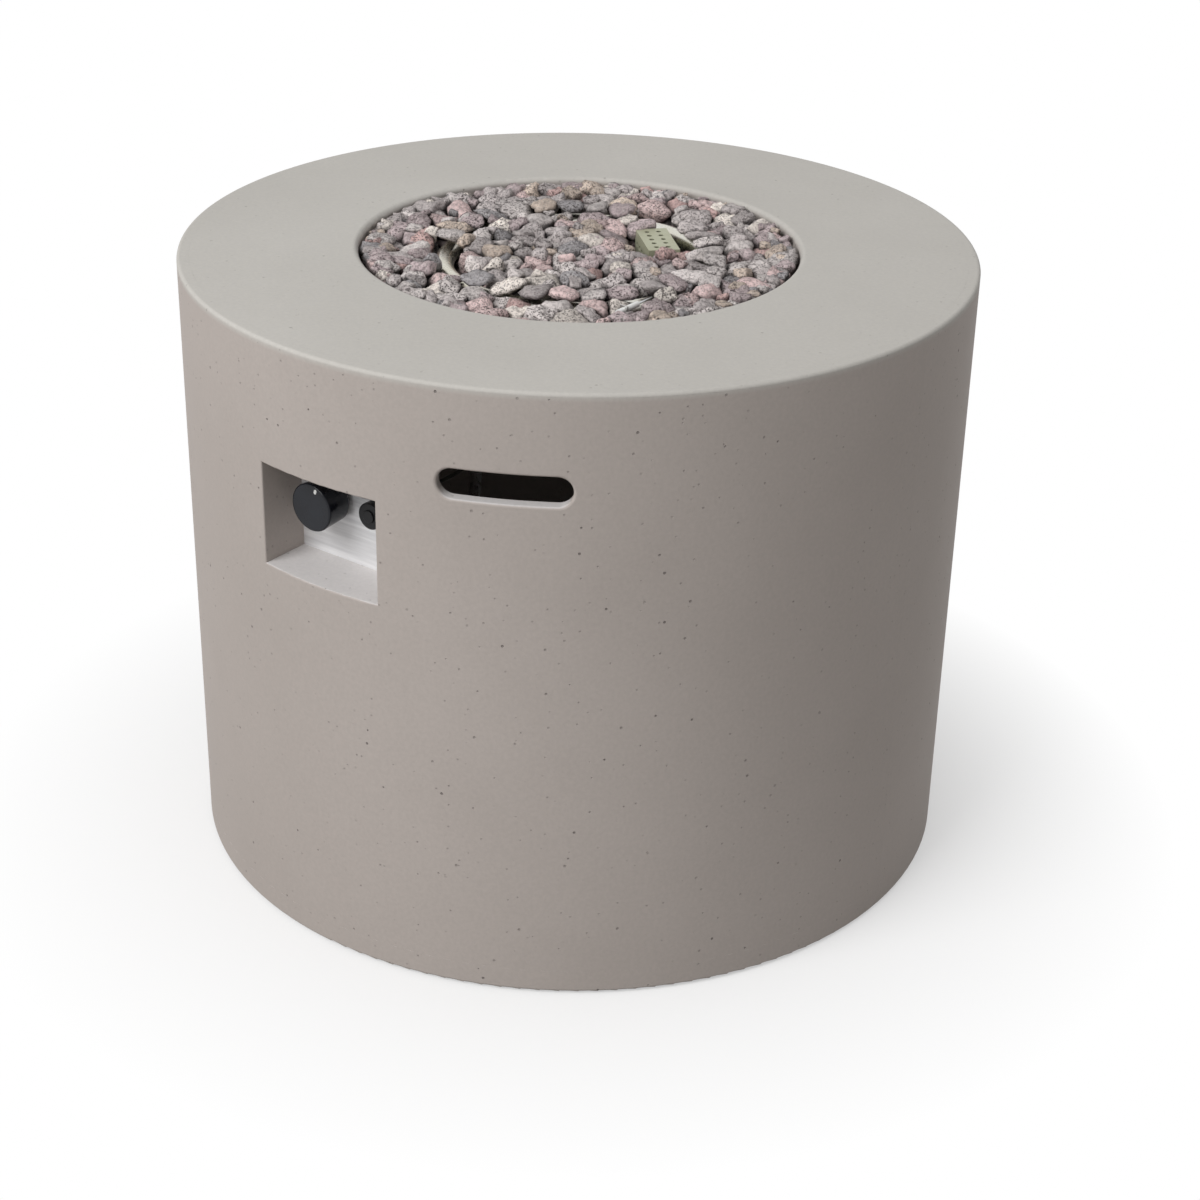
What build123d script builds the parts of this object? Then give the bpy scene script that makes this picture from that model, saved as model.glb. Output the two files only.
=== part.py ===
"""Round cast-concrete gas fire pit with lava rock, a ring burner, a gas valve and a battery igniter.

Frame: millimetres, +Z up, origin on the ground under the middle of the pit. The control pocket faces -Y.
Heights of everything above the feet are taken from the deck, so the pit can be made taller or lower.
"""
from build123d import *
import math
import os
import random

# Overall size of the pit
PIT_DIAMETER = 790.0
PIT_HEIGHT = 622.3

# Cast shell, poured in one go and kept as five simple pieces: wall, base rim, deck, collar and pocket
WALL = 12.0
DECK_THICKNESS = 20.0
TOP_EDGE_RADIUS = 3.5
BASE_EDGE_RADIUS = 3.0
BASE_RIM_WIDTH = 38.0
BASE_RIM_HEIGHT = 24.0

# Fire opening: a rounded mouth, an upright wall and a ledge that carries the burner pan
OPENING_RADIUS = 219.0
OPENING_EDGE_RADIUS = 5.5
LEDGE_DEPTH = 37.0
LEDGE_WIDTH = 18.0
LEDGE_THICKNESS = 14.0
COLLAR_WALL = 14.0

# Hand slots through the wall, one each side; the turn is measured from the control pocket
HANDLE_LENGTH = 121.0
HANDLE_HEIGHT = 28.5
HANDLE_DROP = 92.3
HANDLE_TURNS = (27.6, 207.6)
HANDLE_EDGE_RADIUS = 2.5

# Control pocket, cast as a box that reaches in from the wall
POCKET_WIDTH = 137.0
POCKET_HEIGHT = 102.5
POCKET_DROP = 174.0
POCKET_DEPTH = 58.0
POCKET_WALL = 14.0
POCKET_EDGE_RADIUS = 1.5

# Rubber feet, let into the base rim
FOOT_COUNT = 4
FOOT_DIAMETER = 28.0
FOOT_THICKNESS = 7.0
FOOT_PROUD = 2.0
FOOT_SCREW_HEAD = 8.0
FOOT_SCREW_HEAD_HEIGHT = 2.4
FOOT_SCREW_RECESS = 3.6
FOOT_SCREW_SHANK = 4.0
FOOT_SCREW_BITE = 14.0

# Burner pan, pressed from sheet
PAN_SHEET = 1.2
PAN_DEPTH = 41.0
PAN_TAPER = 4.0
PAN_CORNER_RADIUS = 6.0
PAN_BEND_RADIUS = 1.2
PAN_DRAIN_DIAMETER = 9.0
PAN_DRAIN_RADIUS = 75.0
PAN_DRAIN_COUNT = 4

# Ring burner; the gap is from the wall of the opening to the middle of the tube
BURNER_GAP = 84.0
BURNER_TUBE = 20.0
BURNER_TUBE_WALL = 1.2
BURNER_CROWN_DROP = 13.0
BURNER_PORT_COUNT = 48
BURNER_PORT_DIAMETER = 2.4
BURNER_PORT_RISE = 30.0
LEG_TURNS = (20.0, 150.0)
LEG_WIDTH = 16.0
LEG_SHEET = 2.0
LEG_FOOT_LENGTH = 22.0
RIVET_SHANK = 4.0
RIVET_HEAD = 7.0
RIVET_HEAD_HEIGHT = 1.5

# Gas feed under the pan
STUB_DIAMETER = 20.0
STUB_WALL = 2.0
STUB_REACH = 16.0
LOCK_NUT_FLATS = 30.0
LOCK_NUT_HEIGHT = 6.0
MIXER_DIAMETER = 27.0
MIXER_LENGTH = 56.0
MIXER_AIR_HOLE = 9.0
MIXER_BORE = 14.0
MIXER_FLOOR = 14.0
JET_DIAMETER = 8.0
JET_LENGTH = 18.0
JET_ORIFICE = 1.6
GAS_TUBE_DIAMETER = 12.0
GAS_TUBE_WALL = 1.5
GAS_TUBE_DIP = 96.0
GAS_TUBE_BEND_SHARE = 0.48
TUBE_NUT_FLATS = 19.0
TUBE_NUT_LENGTH = 16.0

# Thermocouple under a perforated guard, on the inner side of the ring and a little askew to it
GUARD_TURN = 64.6
GUARD_SKEW = -17.6
GUARD_WIDTH = 32.0
GUARD_LENGTH = 68.0
GUARD_SHEET = 1.0
GUARD_DROP = 8.0
GUARD_STANDOFF = 20.0
GUARD_HOLE = 5.2
GUARD_HOLE_PITCH = 12.0
GUARD_HOLE_ROWS = 5
GUARD_HOLE_COLUMNS = 2
GUARD_TAB = 12.0
PROBE_DIAMETER = 5.0
PROBE_COLLAR = 9.0
PROBE_COLLAR_HEIGHT = 3.0
PROBE_DROP = 24.0
SENSOR_LEAD_DIAMETER = 2.6
SENSOR_LEAD_BEND = 22.0
SENSOR_NUT_FLATS = 9.0
SENSOR_NUT_LENGTH = 12.0
CLIP_WIDTH = 9.0
CLIP_SHEET = 1.0
CLIP_TAB = 11.0
CLIP_FRONT_Y = -60.0
CLIP_SETBACK = 49.0

# Spark electrode, on the outer side of the ring
ELECTRODE_TURN = -43.7
ELECTRODE_INSET = 8.0
ELECTRODE_RISE = 3.0
CERAMIC_DIAMETER = 6.0
CERAMIC_LENGTH = 32.0
CERAMIC_EDGE_RADIUS = 0.75
SPARK_WIRE_DIAMETER = 2.2
SPARK_WIRE_LENGTH = 23.0
BRACKET_WIDTH = 9.0
BRACKET_SHEET = 1.5
BRACKET_FOOT = 14.0
BRACKET_SETBACK = 10.0
SPARK_LEAD_DIAMETER = 3.6
SPARK_LEAD_BEND = 24.0
SPARK_LEAD_TOP_BEND = 10.5
LEAD_DEPTH = 30.0
GROMMET_HOLE = 10.0
GROMMET_FLANGE = 14.0
GROMMET_LIP = 1.6

# Control panel and its fixings
PANEL_SHEET = 1.5
PANEL_LAP_LEFT_OVER = 1.5
PANEL_SCREW_HEAD = 7.0
PANEL_SCREW_HEAD_HEIGHT = 2.6
PANEL_SCREW_SHANK = 4.0
INSERT_DIAMETER = 6.4
INSERT_LENGTH = 12.0

# Controls, seen from the front: the knob left of the middle and the igniter right of it
CONTROL_RISE = 11.0
KNOB_OFFSET = -26.0
IGNITER_OFFSET = 28.0

# Gas knob
KNOB_DIAMETER = 47.5
KNOB_BACK_DIAMETER = 43.5
KNOB_LENGTH = 28.5
KNOB_GAP = 5.5
KNOB_FACE_WALL = 3.5
KNOB_SKIN = 2.5
KNOB_HUB = 17.0
KNOB_EDGE_RADIUS = 2.0
KNOB_MARK_WIDTH = 3.0
KNOB_MARK_LENGTH = 5.0
KNOB_MARK_DEPTH = 0.8
KNOB_MARK_INSET = 2.5
KNOB_MARK_TURN = 19.5

# Gas valve behind the panel; depths are measured back from the panel
VALVE_WIDTH = 40.0
VALVE_HEIGHT = 44.0
VALVE_DEPTH = 56.0
VALVE_BACK_WALL = 3.0
VALVE_EDGE_RADIUS = 3.0
COVER_THICKNESS = 4.0
COVER_NECK_DIAMETER = 14.0
COVER_NECK_LENGTH = 6.0
STEM_DIAMETER = 8.0
STEM_FLAT = 2.6
STEM_COLLAR = 15.0
STEM_COLLAR_THICKNESS = 2.0
PUSH_TRAVEL = 4.0
SPRING_CHAMBER = 19.0
SPRING_CHAMBER_DEPTH = 16.0
STEM_SPRING_DIAMETER = 13.0
SPRING_WIRE = 1.2
PLUG_FRONT_DIAMETER = 18.0
PLUG_BACK_DIAMETER = 14.0
PLUG_LENGTH = 30.0
PLUG_SOCKET = 18.0
PLUG_SHOULDER = 1.0
STEM_ENGAGEMENT = 11.0
DRIVE_PIN_DIAMETER = 3.0
DRIVE_PIN_LENGTH = 12.0
DRIVE_PIN_SETBACK = 5.0
PLUG_PORT = 5.0
PLUG_LOW_PORT = 2.0
PLUG_PORT_SETBACK = 24.0
GAS_PASSAGE = 8.0
OUTLET_BOSS = 18.0
OUTLET_BOSS_LENGTH = 9.0
VALVE_SCREW_SPREAD = 11.0
VALVE_SCREW_SHANK = 4.0
VALVE_SCREW_HEAD = 7.0
VALVE_SCREW_HEAD_HEIGHT = 2.2
VALVE_SCREW_BITE = 12.0

# Gas inlet fitting, an elbow with a 5/8 inch flare end that points down
INLET_BODY = 20.0
INLET_EDGE_RADIUS = 3.0
INLET_ARM = 15.0
INLET_REACH = 26.0
INLET_THREAD_DIAMETER = 15.88
INLET_THREAD_LENGTH = 18.0
INLET_COLLAR_FLATS = 20.0
INLET_COLLAR_LENGTH = 14.0
INLET_BORE = 8.0

# Battery igniter
IGNITER_BODY = 20.0
IGNITER_BORE = 15.2
IGNITER_FLANGE = 2.0
IGNITER_NECK = 18.0
IGNITER_END_WALL = 4.0
IGNITER_NUT_FLATS = 27.0
IGNITER_NUT_HEIGHT = 6.0
TERMINAL_DIAMETER = 6.0
TERMINAL_LENGTH = 6.0
CAP_DIAMETER = 26.0
CAP_LENGTH = 12.7
CAP_FACE = 1.8
CAP_EDGE_RADIUS = 1.5
BUTTON_HEAD = 12.6
BUTTON_FLANGE = 14.8
BUTTON_FLANGE_HEIGHT = 1.5
BUTTON_PROUD = 1.6
BUTTON_SPRING_DIAMETER = 9.0
BUTTON_SPRING_LENGTH = 4.4
BATTERY_DIAMETER = 14.5
BATTERY_LENGTH = 50.5
BATTERY_NUB = 5.5
BATTERY_NUB_HEIGHT = 0.9
BATTERY_SPRING_DIAMETER = 12.0
BATTERY_SPRING_LENGTH = 9.5

# Lava rock: the top layer of stones
ROCK_SIZE = 28.0
ROCK_DROP = 4.0
ROCK_ROUGHNESS = 3.5
ROCK_GAP = 0.7
ROCK_SHIFT = 0.24
ROCK_LEAST_WIDTH = 9.0
ROCK_ROW_CLEARANCE = 20.0
ROCK_RIM_REACH = 36.0
ROCK_SEED = 7

# Shape of one stone, as shares of its height and of its outline, each between two limits
ROCK_WAIST_HEIGHT = (0.5, 0.8)
ROCK_BASE_WIDTH = (0.55, 0.85)
ROCK_CROWN_WIDTH = (0.4, 0.8)
ROCK_CROWN_SLOPE = (0.0, 0.3)

# Stretches of the ring that no rock covers, in degrees from +X
RING_SHOWN = ((70.0, 98.0), (206.0, 252.0))

# Clearances
RUNNING_FIT = 0.04
SLIDING_FIT = 0.1
HOLE_FIT = 0.15
SEAT_GAP = 0.2
PAN_CLEARANCE = 1.5
WELL_CLEARANCE = 2.0
CUT_OVERRUN = 1.0

# Places worked out from the sizes above
OUTER_RADIUS = PIT_DIAMETER / 2
INNER_RADIUS = OUTER_RADIUS - WALL
DECK_Z = PIT_HEIGHT
DECK_UNDER_Z = DECK_Z - DECK_THICKNESS
RIM_INNER_RADIUS = OUTER_RADIUS - BASE_RIM_WIDTH
RIM_TOP_Z = FOOT_PROUD + BASE_RIM_HEIGHT
FOOT_RADIUS = OUTER_RADIUS - BASE_RIM_WIDTH / 2
LEDGE_Z = DECK_Z - LEDGE_DEPTH
LEDGE_RADIUS = OPENING_RADIUS - LEDGE_WIDTH
COLLAR_RADIUS = OPENING_RADIUS + COLLAR_WALL
HANDLE_Z = DECK_Z - HANDLE_DROP
POCKET_Z = DECK_Z - POCKET_DROP
PANEL_FRONT_Y = POCKET_DEPTH - OUTER_RADIUS
PANEL_BACK_Y = PANEL_FRONT_Y + PANEL_SHEET
CONTROL_Z = POCKET_Z + CONTROL_RISE

PAN_TOP_Z = LEDGE_Z + PAN_SHEET
PAN_FLOOR_Z = PAN_TOP_Z - PAN_DEPTH
PAN_UNDER_Z = PAN_FLOOR_Z - PAN_SHEET
PAN_WALL_RADIUS = LEDGE_RADIUS - PAN_CLEARANCE
PAN_FLOOR_RADIUS = PAN_WALL_RADIUS - PAN_TAPER
PAN_FLAT_RADIUS = PAN_FLOOR_RADIUS - PAN_SHEET - PAN_CORNER_RADIUS

BURNER_RADIUS = OPENING_RADIUS - BURNER_GAP
BURNER_Z = DECK_Z - BURNER_CROWN_DROP - BURNER_TUBE / 2
BURNER_CROWN_Z = BURNER_Z + BURNER_TUBE / 2
STUB_X = KNOB_OFFSET
STUB_Y = -math.sqrt(BURNER_RADIUS ** 2 - STUB_X ** 2)
STUB_END_Z = PAN_UNDER_Z - LOCK_NUT_HEIGHT - STUB_REACH
MIXER_TOP_Z = PAN_UNDER_Z - LOCK_NUT_HEIGHT - SEAT_GAP
MIXER_END_Z = MIXER_TOP_Z - MIXER_LENGTH

GUARD_RADIUS = BURNER_RADIUS - BURNER_TUBE / 2 - GUARD_STANDOFF - GUARD_WIDTH / 2
GUARD_TOP_Z = DECK_Z - GUARD_DROP
PROBE_X = GUARD_RADIUS * math.cos(math.radians(GUARD_TURN))
PROBE_Y = GUARD_RADIUS * math.sin(math.radians(GUARD_TURN))
CLIP_PLACES = (CLIP_FRONT_Y, GUARD_RADIUS - CLIP_SETBACK)
LEAD_Z = PAN_UNDER_Z - LEAD_DEPTH

ELECTRODE_Z = BURNER_CROWN_Z + ELECTRODE_RISE
ELECTRODE_X = (PAN_FLAT_RADIUS - ELECTRODE_INSET) * math.cos(math.radians(ELECTRODE_TURN))
SPARK_HOLE_Y = (PAN_FLAT_RADIUS - ELECTRODE_INSET) * math.sin(math.radians(ELECTRODE_TURN))
CERAMIC_BACK_Y = SPARK_HOLE_Y + SPARK_LEAD_TOP_BEND
CERAMIC_FRONT_Y = CERAMIC_BACK_Y + CERAMIC_LENGTH
BRACKET_Y = CERAMIC_BACK_Y + BRACKET_SETBACK

# Depths along a control's own axis: zero at the back of the panel, positive towards the user
KNOB_BACK = PANEL_SHEET + KNOB_GAP
KNOB_FRONT = KNOB_BACK + KNOB_LENGTH
HUB_BACK = KNOB_BACK + PUSH_TRAVEL
STEM_FRONT = KNOB_FRONT - KNOB_FACE_WALL - SEAT_GAP
CHAMBER_BACK = -COVER_THICKNESS - SPRING_CHAMBER_DEPTH
PLUG_BACK = CHAMBER_BACK - PLUG_LENGTH
VALVE_BACK = -COVER_THICKNESS - VALVE_DEPTH
STEM_BACK = CHAMBER_BACK - STEM_ENGAGEMENT
COLLAR_FRONT = -COVER_THICKNESS - SEAT_GAP
COLLAR_BACK = COLLAR_FRONT - STEM_COLLAR_THICKNESS
DRIVE_PIN_DEPTH = CHAMBER_BACK - DRIVE_PIN_SETBACK
PORT_DEPTH = CHAMBER_BACK - PLUG_PORT_SETBACK
GAS_CHAMBER_DEPTH = (PLUG_BACK + VALVE_BACK) / 2

FLANGE_FRONT = PANEL_SHEET + IGNITER_FLANGE
CAP_BACK = FLANGE_FRONT + SEAT_GAP
CAP_FRONT = CAP_BACK + CAP_LENGTH
NECK_FRONT = CAP_FRONT - CAP_FACE - SEAT_GAP
BUTTON_FLANGE_BACK = NECK_FRONT - BUTTON_FLANGE_HEIGHT
BATTERY_FRONT = BUTTON_FLANGE_BACK - BUTTON_SPRING_LENGTH - 2 * SEAT_GAP
BATTERY_BACK = BATTERY_FRONT - BATTERY_LENGTH
BORE_BACK = BATTERY_BACK - BATTERY_SPRING_LENGTH - 2 * SEAT_GAP
IGNITER_BACK = BORE_BACK - IGNITER_END_WALL

LOWEST = (Align.CENTER, Align.CENTER, Align.MIN)


def rod(radius, low, high):
    """Upright cylinder between two heights."""
    return Pos(0, 0, low) * Cylinder(radius, high - low, align=LOWEST)


def sleeve(outer, inner, low, high):
    """Upright tube between two heights."""
    return rod(outer, low, high) - rod(inner, low - CUT_OVERRUN, high + CUT_OVERRUN)


def block(size_x, size_y, low, high):
    """Upright block, centred on the axis, between two heights."""
    return Pos(0, 0, low) * Box(size_x, size_y, high - low, align=LOWEST)


def hexagon(flats, low, high):
    """Upright hexagon bar, given across its flats."""
    return Pos(0, 0, low) * extrude(RegularPolygon(flats / 2, 6, major_radius=False), amount=high - low)


def turned(corners):
    """Body of revolution about Z. Each corner is its radius, its height and the rounding there."""
    points = [(radius, height) for radius, height, _ in corners]
    rounding = [corner_radius for _, _, corner_radius in corners]
    outline = FilletPolyline(*points, radius=rounding, close=True)
    return revolve(Plane.XZ * make_face(outline), Axis.Z)


def cone(low_radius, high_radius, low, high):
    """Upright cone frustum between two heights."""
    return Pos(0, 0, low) * Cone(low_radius, high_radius, high - low, align=LOWEST)


def swept_tube(points, radius, bends):
    """Round bar along straight runs joined by arcs."""
    path = FilletPolyline(*points, radius=bends)
    return sweep(Plane(path @ 0, z_dir=path % 0) * Circle(radius), path=path)


def outward_plane(turn, radius, height):
    """Plane that faces straight out of the wall, turned about Z from the middle of the pocket."""
    angle = math.radians(turn)
    out = (math.sin(angle), -math.cos(angle), 0)
    along = (math.cos(angle), math.sin(angle), 0)
    return Plane(origin=(radius * out[0], radius * out[1], height), x_dir=along, z_dir=out)


def at_control(offset):
    """Axis of one control: its zero is the back of the panel, and it points at the user."""
    return Plane(origin=(offset, PANEL_BACK_Y, CONTROL_Z), x_dir=(1, 0, 0), z_dir=(0, -1, 0)).location


def group(shapes):
    """Several separate solids in one node."""
    return Compound([solid for shape in shapes for solid in shape.solids()])


def foot_places():
    """Middle of each foot, halfway between the pocket and the sides."""
    step = 360 / FOOT_COUNT
    return [Rot(0, 0, step * (k + 0.5)) * Pos(FOOT_RADIUS, 0, 0) for k in range(FOOT_COUNT)]


def panel_screw_places():
    """Corners of the control panel, in the middle of the pocket's walls."""
    across = (POCKET_WIDTH + POCKET_WALL) / 2
    up = (POCKET_HEIGHT + POCKET_WALL) / 2
    corners = [(-across, -up), (across, -up), (across, up), (-across, up)]
    base = Plane(origin=(0, PANEL_BACK_Y, POCKET_Z), x_dir=(1, 0, 0), z_dir=(0, -1, 0)).location
    return [base * Pos(x, y, 0) for x, y in corners]


def pocket_box(width, height, front, back):
    """Block in front of the panel or behind it, centred on the pocket."""
    return Pos(0, (front + back) / 2, POCKET_Z) * Box(width, back - front, height)


def near_wall(edge, turn, length, height_z, height):
    """True for an edge on the outside of the wall, inside the given window."""
    middle = edge.center()
    plane = outward_plane(turn, 0, height_z)
    local = plane.to_local_coords(middle)
    on_surface = math.hypot(middle.X, middle.Y) > OUTER_RADIUS - WALL / 2
    in_length = abs(local.X) < length / 2 + CUT_OVERRUN
    in_height = abs(local.Y) < height / 2 + CUT_OVERRUN
    return on_surface and in_length and in_height and local.Z > 0


def make_drum_wall():
    """Upright wall with a rounded top edge, the mouth of the control pocket and the hand slots."""
    wall = turned([
        (INNER_RADIUS, RIM_TOP_Z, 0),
        (OUTER_RADIUS, RIM_TOP_Z, 0),
        (OUTER_RADIUS, DECK_Z, TOP_EDGE_RADIUS),
        (INNER_RADIUS, DECK_Z, 0),
    ])
    front = -OUTER_RADIUS - CUT_OVERRUN
    wall -= pocket_box(POCKET_WIDTH, POCKET_HEIGHT, front, PANEL_FRONT_Y)
    mouth = [e for e in wall.edges() if near_wall(e, 0, POCKET_WIDTH, POCKET_Z, POCKET_HEIGHT)]
    wall = fillet(ShapeList(mouth), POCKET_EDGE_RADIUS)
    for turn in HANDLE_TURNS:
        slot = outward_plane(turn, OUTER_RADIUS, HANDLE_Z) * SlotOverall(HANDLE_LENGTH, HANDLE_HEIGHT)
        wall -= extrude(slot, amount=2 * WALL, both=True)
        rim = [e for e in wall.edges() if near_wall(e, turn, HANDLE_LENGTH, HANDLE_Z, HANDLE_HEIGHT)]
        wall = fillet(ShapeList(rim), HANDLE_EDGE_RADIUS)
    return wall


def make_base_rim():
    """Thick foot of the wall, with a recess and a pilot hole for each rubber foot."""
    rim = turned([
        (RIM_INNER_RADIUS, FOOT_PROUD, 0),
        (OUTER_RADIUS, FOOT_PROUD, BASE_EDGE_RADIUS),
        (OUTER_RADIUS, RIM_TOP_Z, 0),
        (RIM_INNER_RADIUS, RIM_TOP_Z, 0),
    ])
    recess = rod(FOOT_DIAMETER / 2 + HOLE_FIT, 0, FOOT_THICKNESS)
    pilot = rod(FOOT_SCREW_SHANK / 2, 0, FOOT_THICKNESS + FOOT_SCREW_BITE + CUT_OVERRUN)
    for place in foot_places():
        rim -= place * (recess + pilot)
    return rim


def make_deck_slab():
    """Flat deck inside the wall, round the rounded mouth of the fire opening."""
    return turned([
        (OPENING_RADIUS, DECK_UNDER_Z, 0),
        (INNER_RADIUS, DECK_UNDER_Z, 0),
        (INNER_RADIUS, DECK_Z, 0),
        (OPENING_RADIUS, DECK_Z, OPENING_EDGE_RADIUS),
    ])


def make_opening_collar():
    """Wall of the fire opening under the deck, with the ledge that carries the burner pan."""
    collar_base = LEDGE_Z - LEDGE_THICKNESS
    return turned([
        (LEDGE_RADIUS, collar_base, 0),
        (COLLAR_RADIUS, collar_base, 0),
        (COLLAR_RADIUS, DECK_UNDER_Z, 0),
        (OPENING_RADIUS, DECK_UNDER_Z, 0),
        (OPENING_RADIUS, LEDGE_Z, 0),
        (LEDGE_RADIUS, LEDGE_Z, 0),
    ])


def make_pocket_frame():
    """Box of the control pocket behind the wall, with holes for the inserts of the panel screws."""
    frame_width = POCKET_WIDTH + 2 * POCKET_WALL
    frame_height = POCKET_HEIGHT + 2 * POCKET_WALL
    frame = pocket_box(frame_width, frame_height, -OUTER_RADIUS, PANEL_FRONT_Y)
    frame &= rod(INNER_RADIUS, 0, DECK_Z)
    frame -= pocket_box(POCKET_WIDTH, POCKET_HEIGHT, -OUTER_RADIUS, PANEL_FRONT_Y + CUT_OVERRUN)
    insert_hole = rod(INSERT_DIAMETER / 2, 0, PANEL_SHEET + INSERT_LENGTH)
    for place in panel_screw_places():
        frame -= place * insert_hole
    return frame


def make_foot_pad():
    """Round rubber foot with a sunk hole for its screw."""
    pad = turned([
        (0, 0, 0),
        (FOOT_DIAMETER / 2, 0, FOOT_PROUD / 2),
        (FOOT_DIAMETER / 2, FOOT_THICKNESS, 0),
        (0, FOOT_THICKNESS, 0),
    ])
    pad -= rod(FOOT_SCREW_HEAD / 2 + HOLE_FIT, -CUT_OVERRUN, FOOT_SCREW_RECESS)
    return pad - rod(FOOT_SCREW_SHANK / 2 + HOLE_FIT, 0, FOOT_THICKNESS + CUT_OVERRUN)


def make_foot_screw():
    """Screw that holds a foot into the base rim, its head sunk in the rubber."""
    head = rod(FOOT_SCREW_HEAD / 2, FOOT_SCREW_RECESS - FOOT_SCREW_HEAD_HEIGHT, FOOT_SCREW_RECESS)
    return head + rod(FOOT_SCREW_SHANK / 2, FOOT_SCREW_RECESS, FOOT_THICKNESS + FOOT_SCREW_BITE)


def leg_place(turn):
    """Point of the pan floor under the burner tube."""
    return Rot(0, 0, turn) * Pos(BURNER_RADIUS, 0, PAN_FLOOR_Z)


def leg_rivet_shift():
    """Distance from the post of a burner leg to the rivet in its foot."""
    return -LEG_FOOT_LENGTH / 2


def guard_place():
    """Middle of the guard on the pan floor, with local X across the guard, towards the ring."""
    return Rot(0, 0, GUARD_TURN) * Pos(GUARD_RADIUS, 0, PAN_FLOOR_Z) * Rot(0, 0, GUARD_SKEW)


def guard_rivet_shift():
    """Distance from the middle of the guard to the rivet in its tab."""
    return -(GUARD_WIDTH + GUARD_TAB) / 2


def rivet_places():
    """Each rivet through the pan floor, with the sheet on top of the floor and the sheet under it."""
    places = [(leg_place(turn) * Pos(leg_rivet_shift(), 0, 0), LEG_SHEET, 0) for turn in LEG_TURNS]
    places.append((guard_place() * Pos(guard_rivet_shift(), 0, 0), GUARD_SHEET, 0))
    bracket = Pos(ELECTRODE_X, BRACKET_Y + (BRACKET_SHEET + BRACKET_FOOT) / 2, PAN_FLOOR_Z)
    places.append((bracket, BRACKET_SHEET, 0))
    for along in CLIP_PLACES:
        places.append((Pos(PROBE_X, along + (CLIP_SHEET + CLIP_TAB) / 2, PAN_FLOOR_Z), 0, CLIP_SHEET))
    return places


def rivet_hole(low, high):
    """Clearance hole for a rivet through the sheet between two heights."""
    return rod(RIVET_SHANK / 2 + HOLE_FIT, low - CUT_OVERRUN, high + CUT_OVERRUN)


def make_rivet(above, below):
    """Rivet through the pan floor and the sheets clamped above and below it."""
    bottom = -PAN_SHEET - below
    head = rod(RIVET_HEAD / 2, above, above + RIVET_HEAD_HEIGHT)
    tail = rod(RIVET_HEAD / 2, bottom - RIVET_HEAD_HEIGHT, bottom)
    return head + rod(RIVET_SHANK / 2, bottom, above) + tail


def make_burner_pan():
    """Round pan that hangs by its flange on the ledge, with holes for the burner, leads and rivets."""
    pan = turned([
        (0, PAN_UNDER_Z, 0),
        (PAN_FLOOR_RADIUS, PAN_UNDER_Z, PAN_CORNER_RADIUS + PAN_SHEET),
        (PAN_WALL_RADIUS, LEDGE_Z, PAN_BEND_RADIUS),
        (OPENING_RADIUS - PAN_CLEARANCE, LEDGE_Z, 0),
        (OPENING_RADIUS - PAN_CLEARANCE, PAN_TOP_Z, 0),
        (PAN_WALL_RADIUS - PAN_SHEET, PAN_TOP_Z, PAN_BEND_RADIUS + PAN_SHEET),
        (PAN_FLOOR_RADIUS - PAN_SHEET, PAN_FLOOR_Z, PAN_CORNER_RADIUS),
        (0, PAN_FLOOR_Z, 0),
    ])
    low = PAN_UNDER_Z - CUT_OVERRUN
    high = PAN_FLOOR_Z + CUT_OVERRUN
    pan -= Pos(STUB_X, STUB_Y, 0) * rod(STUB_DIAMETER / 2 + HOLE_FIT, low, high)
    pan -= Pos(PROBE_X, PROBE_Y, 0) * rod(PROBE_DIAMETER / 2 + HOLE_FIT, low, high)
    pan -= Pos(ELECTRODE_X, SPARK_HOLE_Y, 0) * rod(GROMMET_HOLE / 2, low, high)
    for k in range(PAN_DRAIN_COUNT):
        drain = Pos(PAN_DRAIN_RADIUS, 0, 0) * rod(PAN_DRAIN_DIAMETER / 2, low, high)
        pan -= Rot(0, 0, 360 / PAN_DRAIN_COUNT * k) * drain
    for place, _, _ in rivet_places():
        pan -= place * rivet_hole(-PAN_SHEET, 0)
    return pan


def make_burner_ring():
    """Hollow ring tube with flame ports on its inner side and the inlet stub under it."""
    stub = Pos(STUB_X, STUB_Y, 0)
    ring = Pos(0, 0, BURNER_Z) * Torus(BURNER_RADIUS, BURNER_TUBE / 2)
    ring += stub * rod(STUB_DIAMETER / 2, STUB_END_Z, BURNER_Z)
    ring -= Pos(0, 0, BURNER_Z) * Torus(BURNER_RADIUS, BURNER_TUBE / 2 - BURNER_TUBE_WALL)
    ring -= stub * rod(STUB_DIAMETER / 2 - STUB_WALL, STUB_END_Z - CUT_OVERRUN, BURNER_Z)
    port = rod(BURNER_PORT_DIAMETER / 2, 0, BURNER_TUBE / 2 + CUT_OVERRUN)
    ports = []
    for k in range(BURNER_PORT_COUNT):
        turn = Rot(0, 0, 360 / BURNER_PORT_COUNT * (k + 0.5))
        ports.append(turn * Pos(BURNER_RADIUS, 0, BURNER_Z) * Rot(0, BURNER_PORT_RISE - 90, 0) * port)
    return ring - ports


def make_burner_leg(turn):
    """Bent strap from the pan floor up to the underside of the ring tube."""
    post = block(LEG_SHEET, LEG_WIDTH, 0, BURNER_Z - PAN_FLOOR_Z)
    foot = Pos(-LEG_FOOT_LENGTH / 2, 0, 0) * block(LEG_FOOT_LENGTH, LEG_WIDTH, 0, LEG_SHEET)
    foot -= Pos(leg_rivet_shift(), 0, 0) * rivet_hole(0, LEG_SHEET)
    leg = leg_place(turn) * (post + foot)
    return leg - Pos(0, 0, BURNER_Z) * Torus(BURNER_RADIUS, BURNER_TUBE / 2 + SEAT_GAP)


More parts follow.
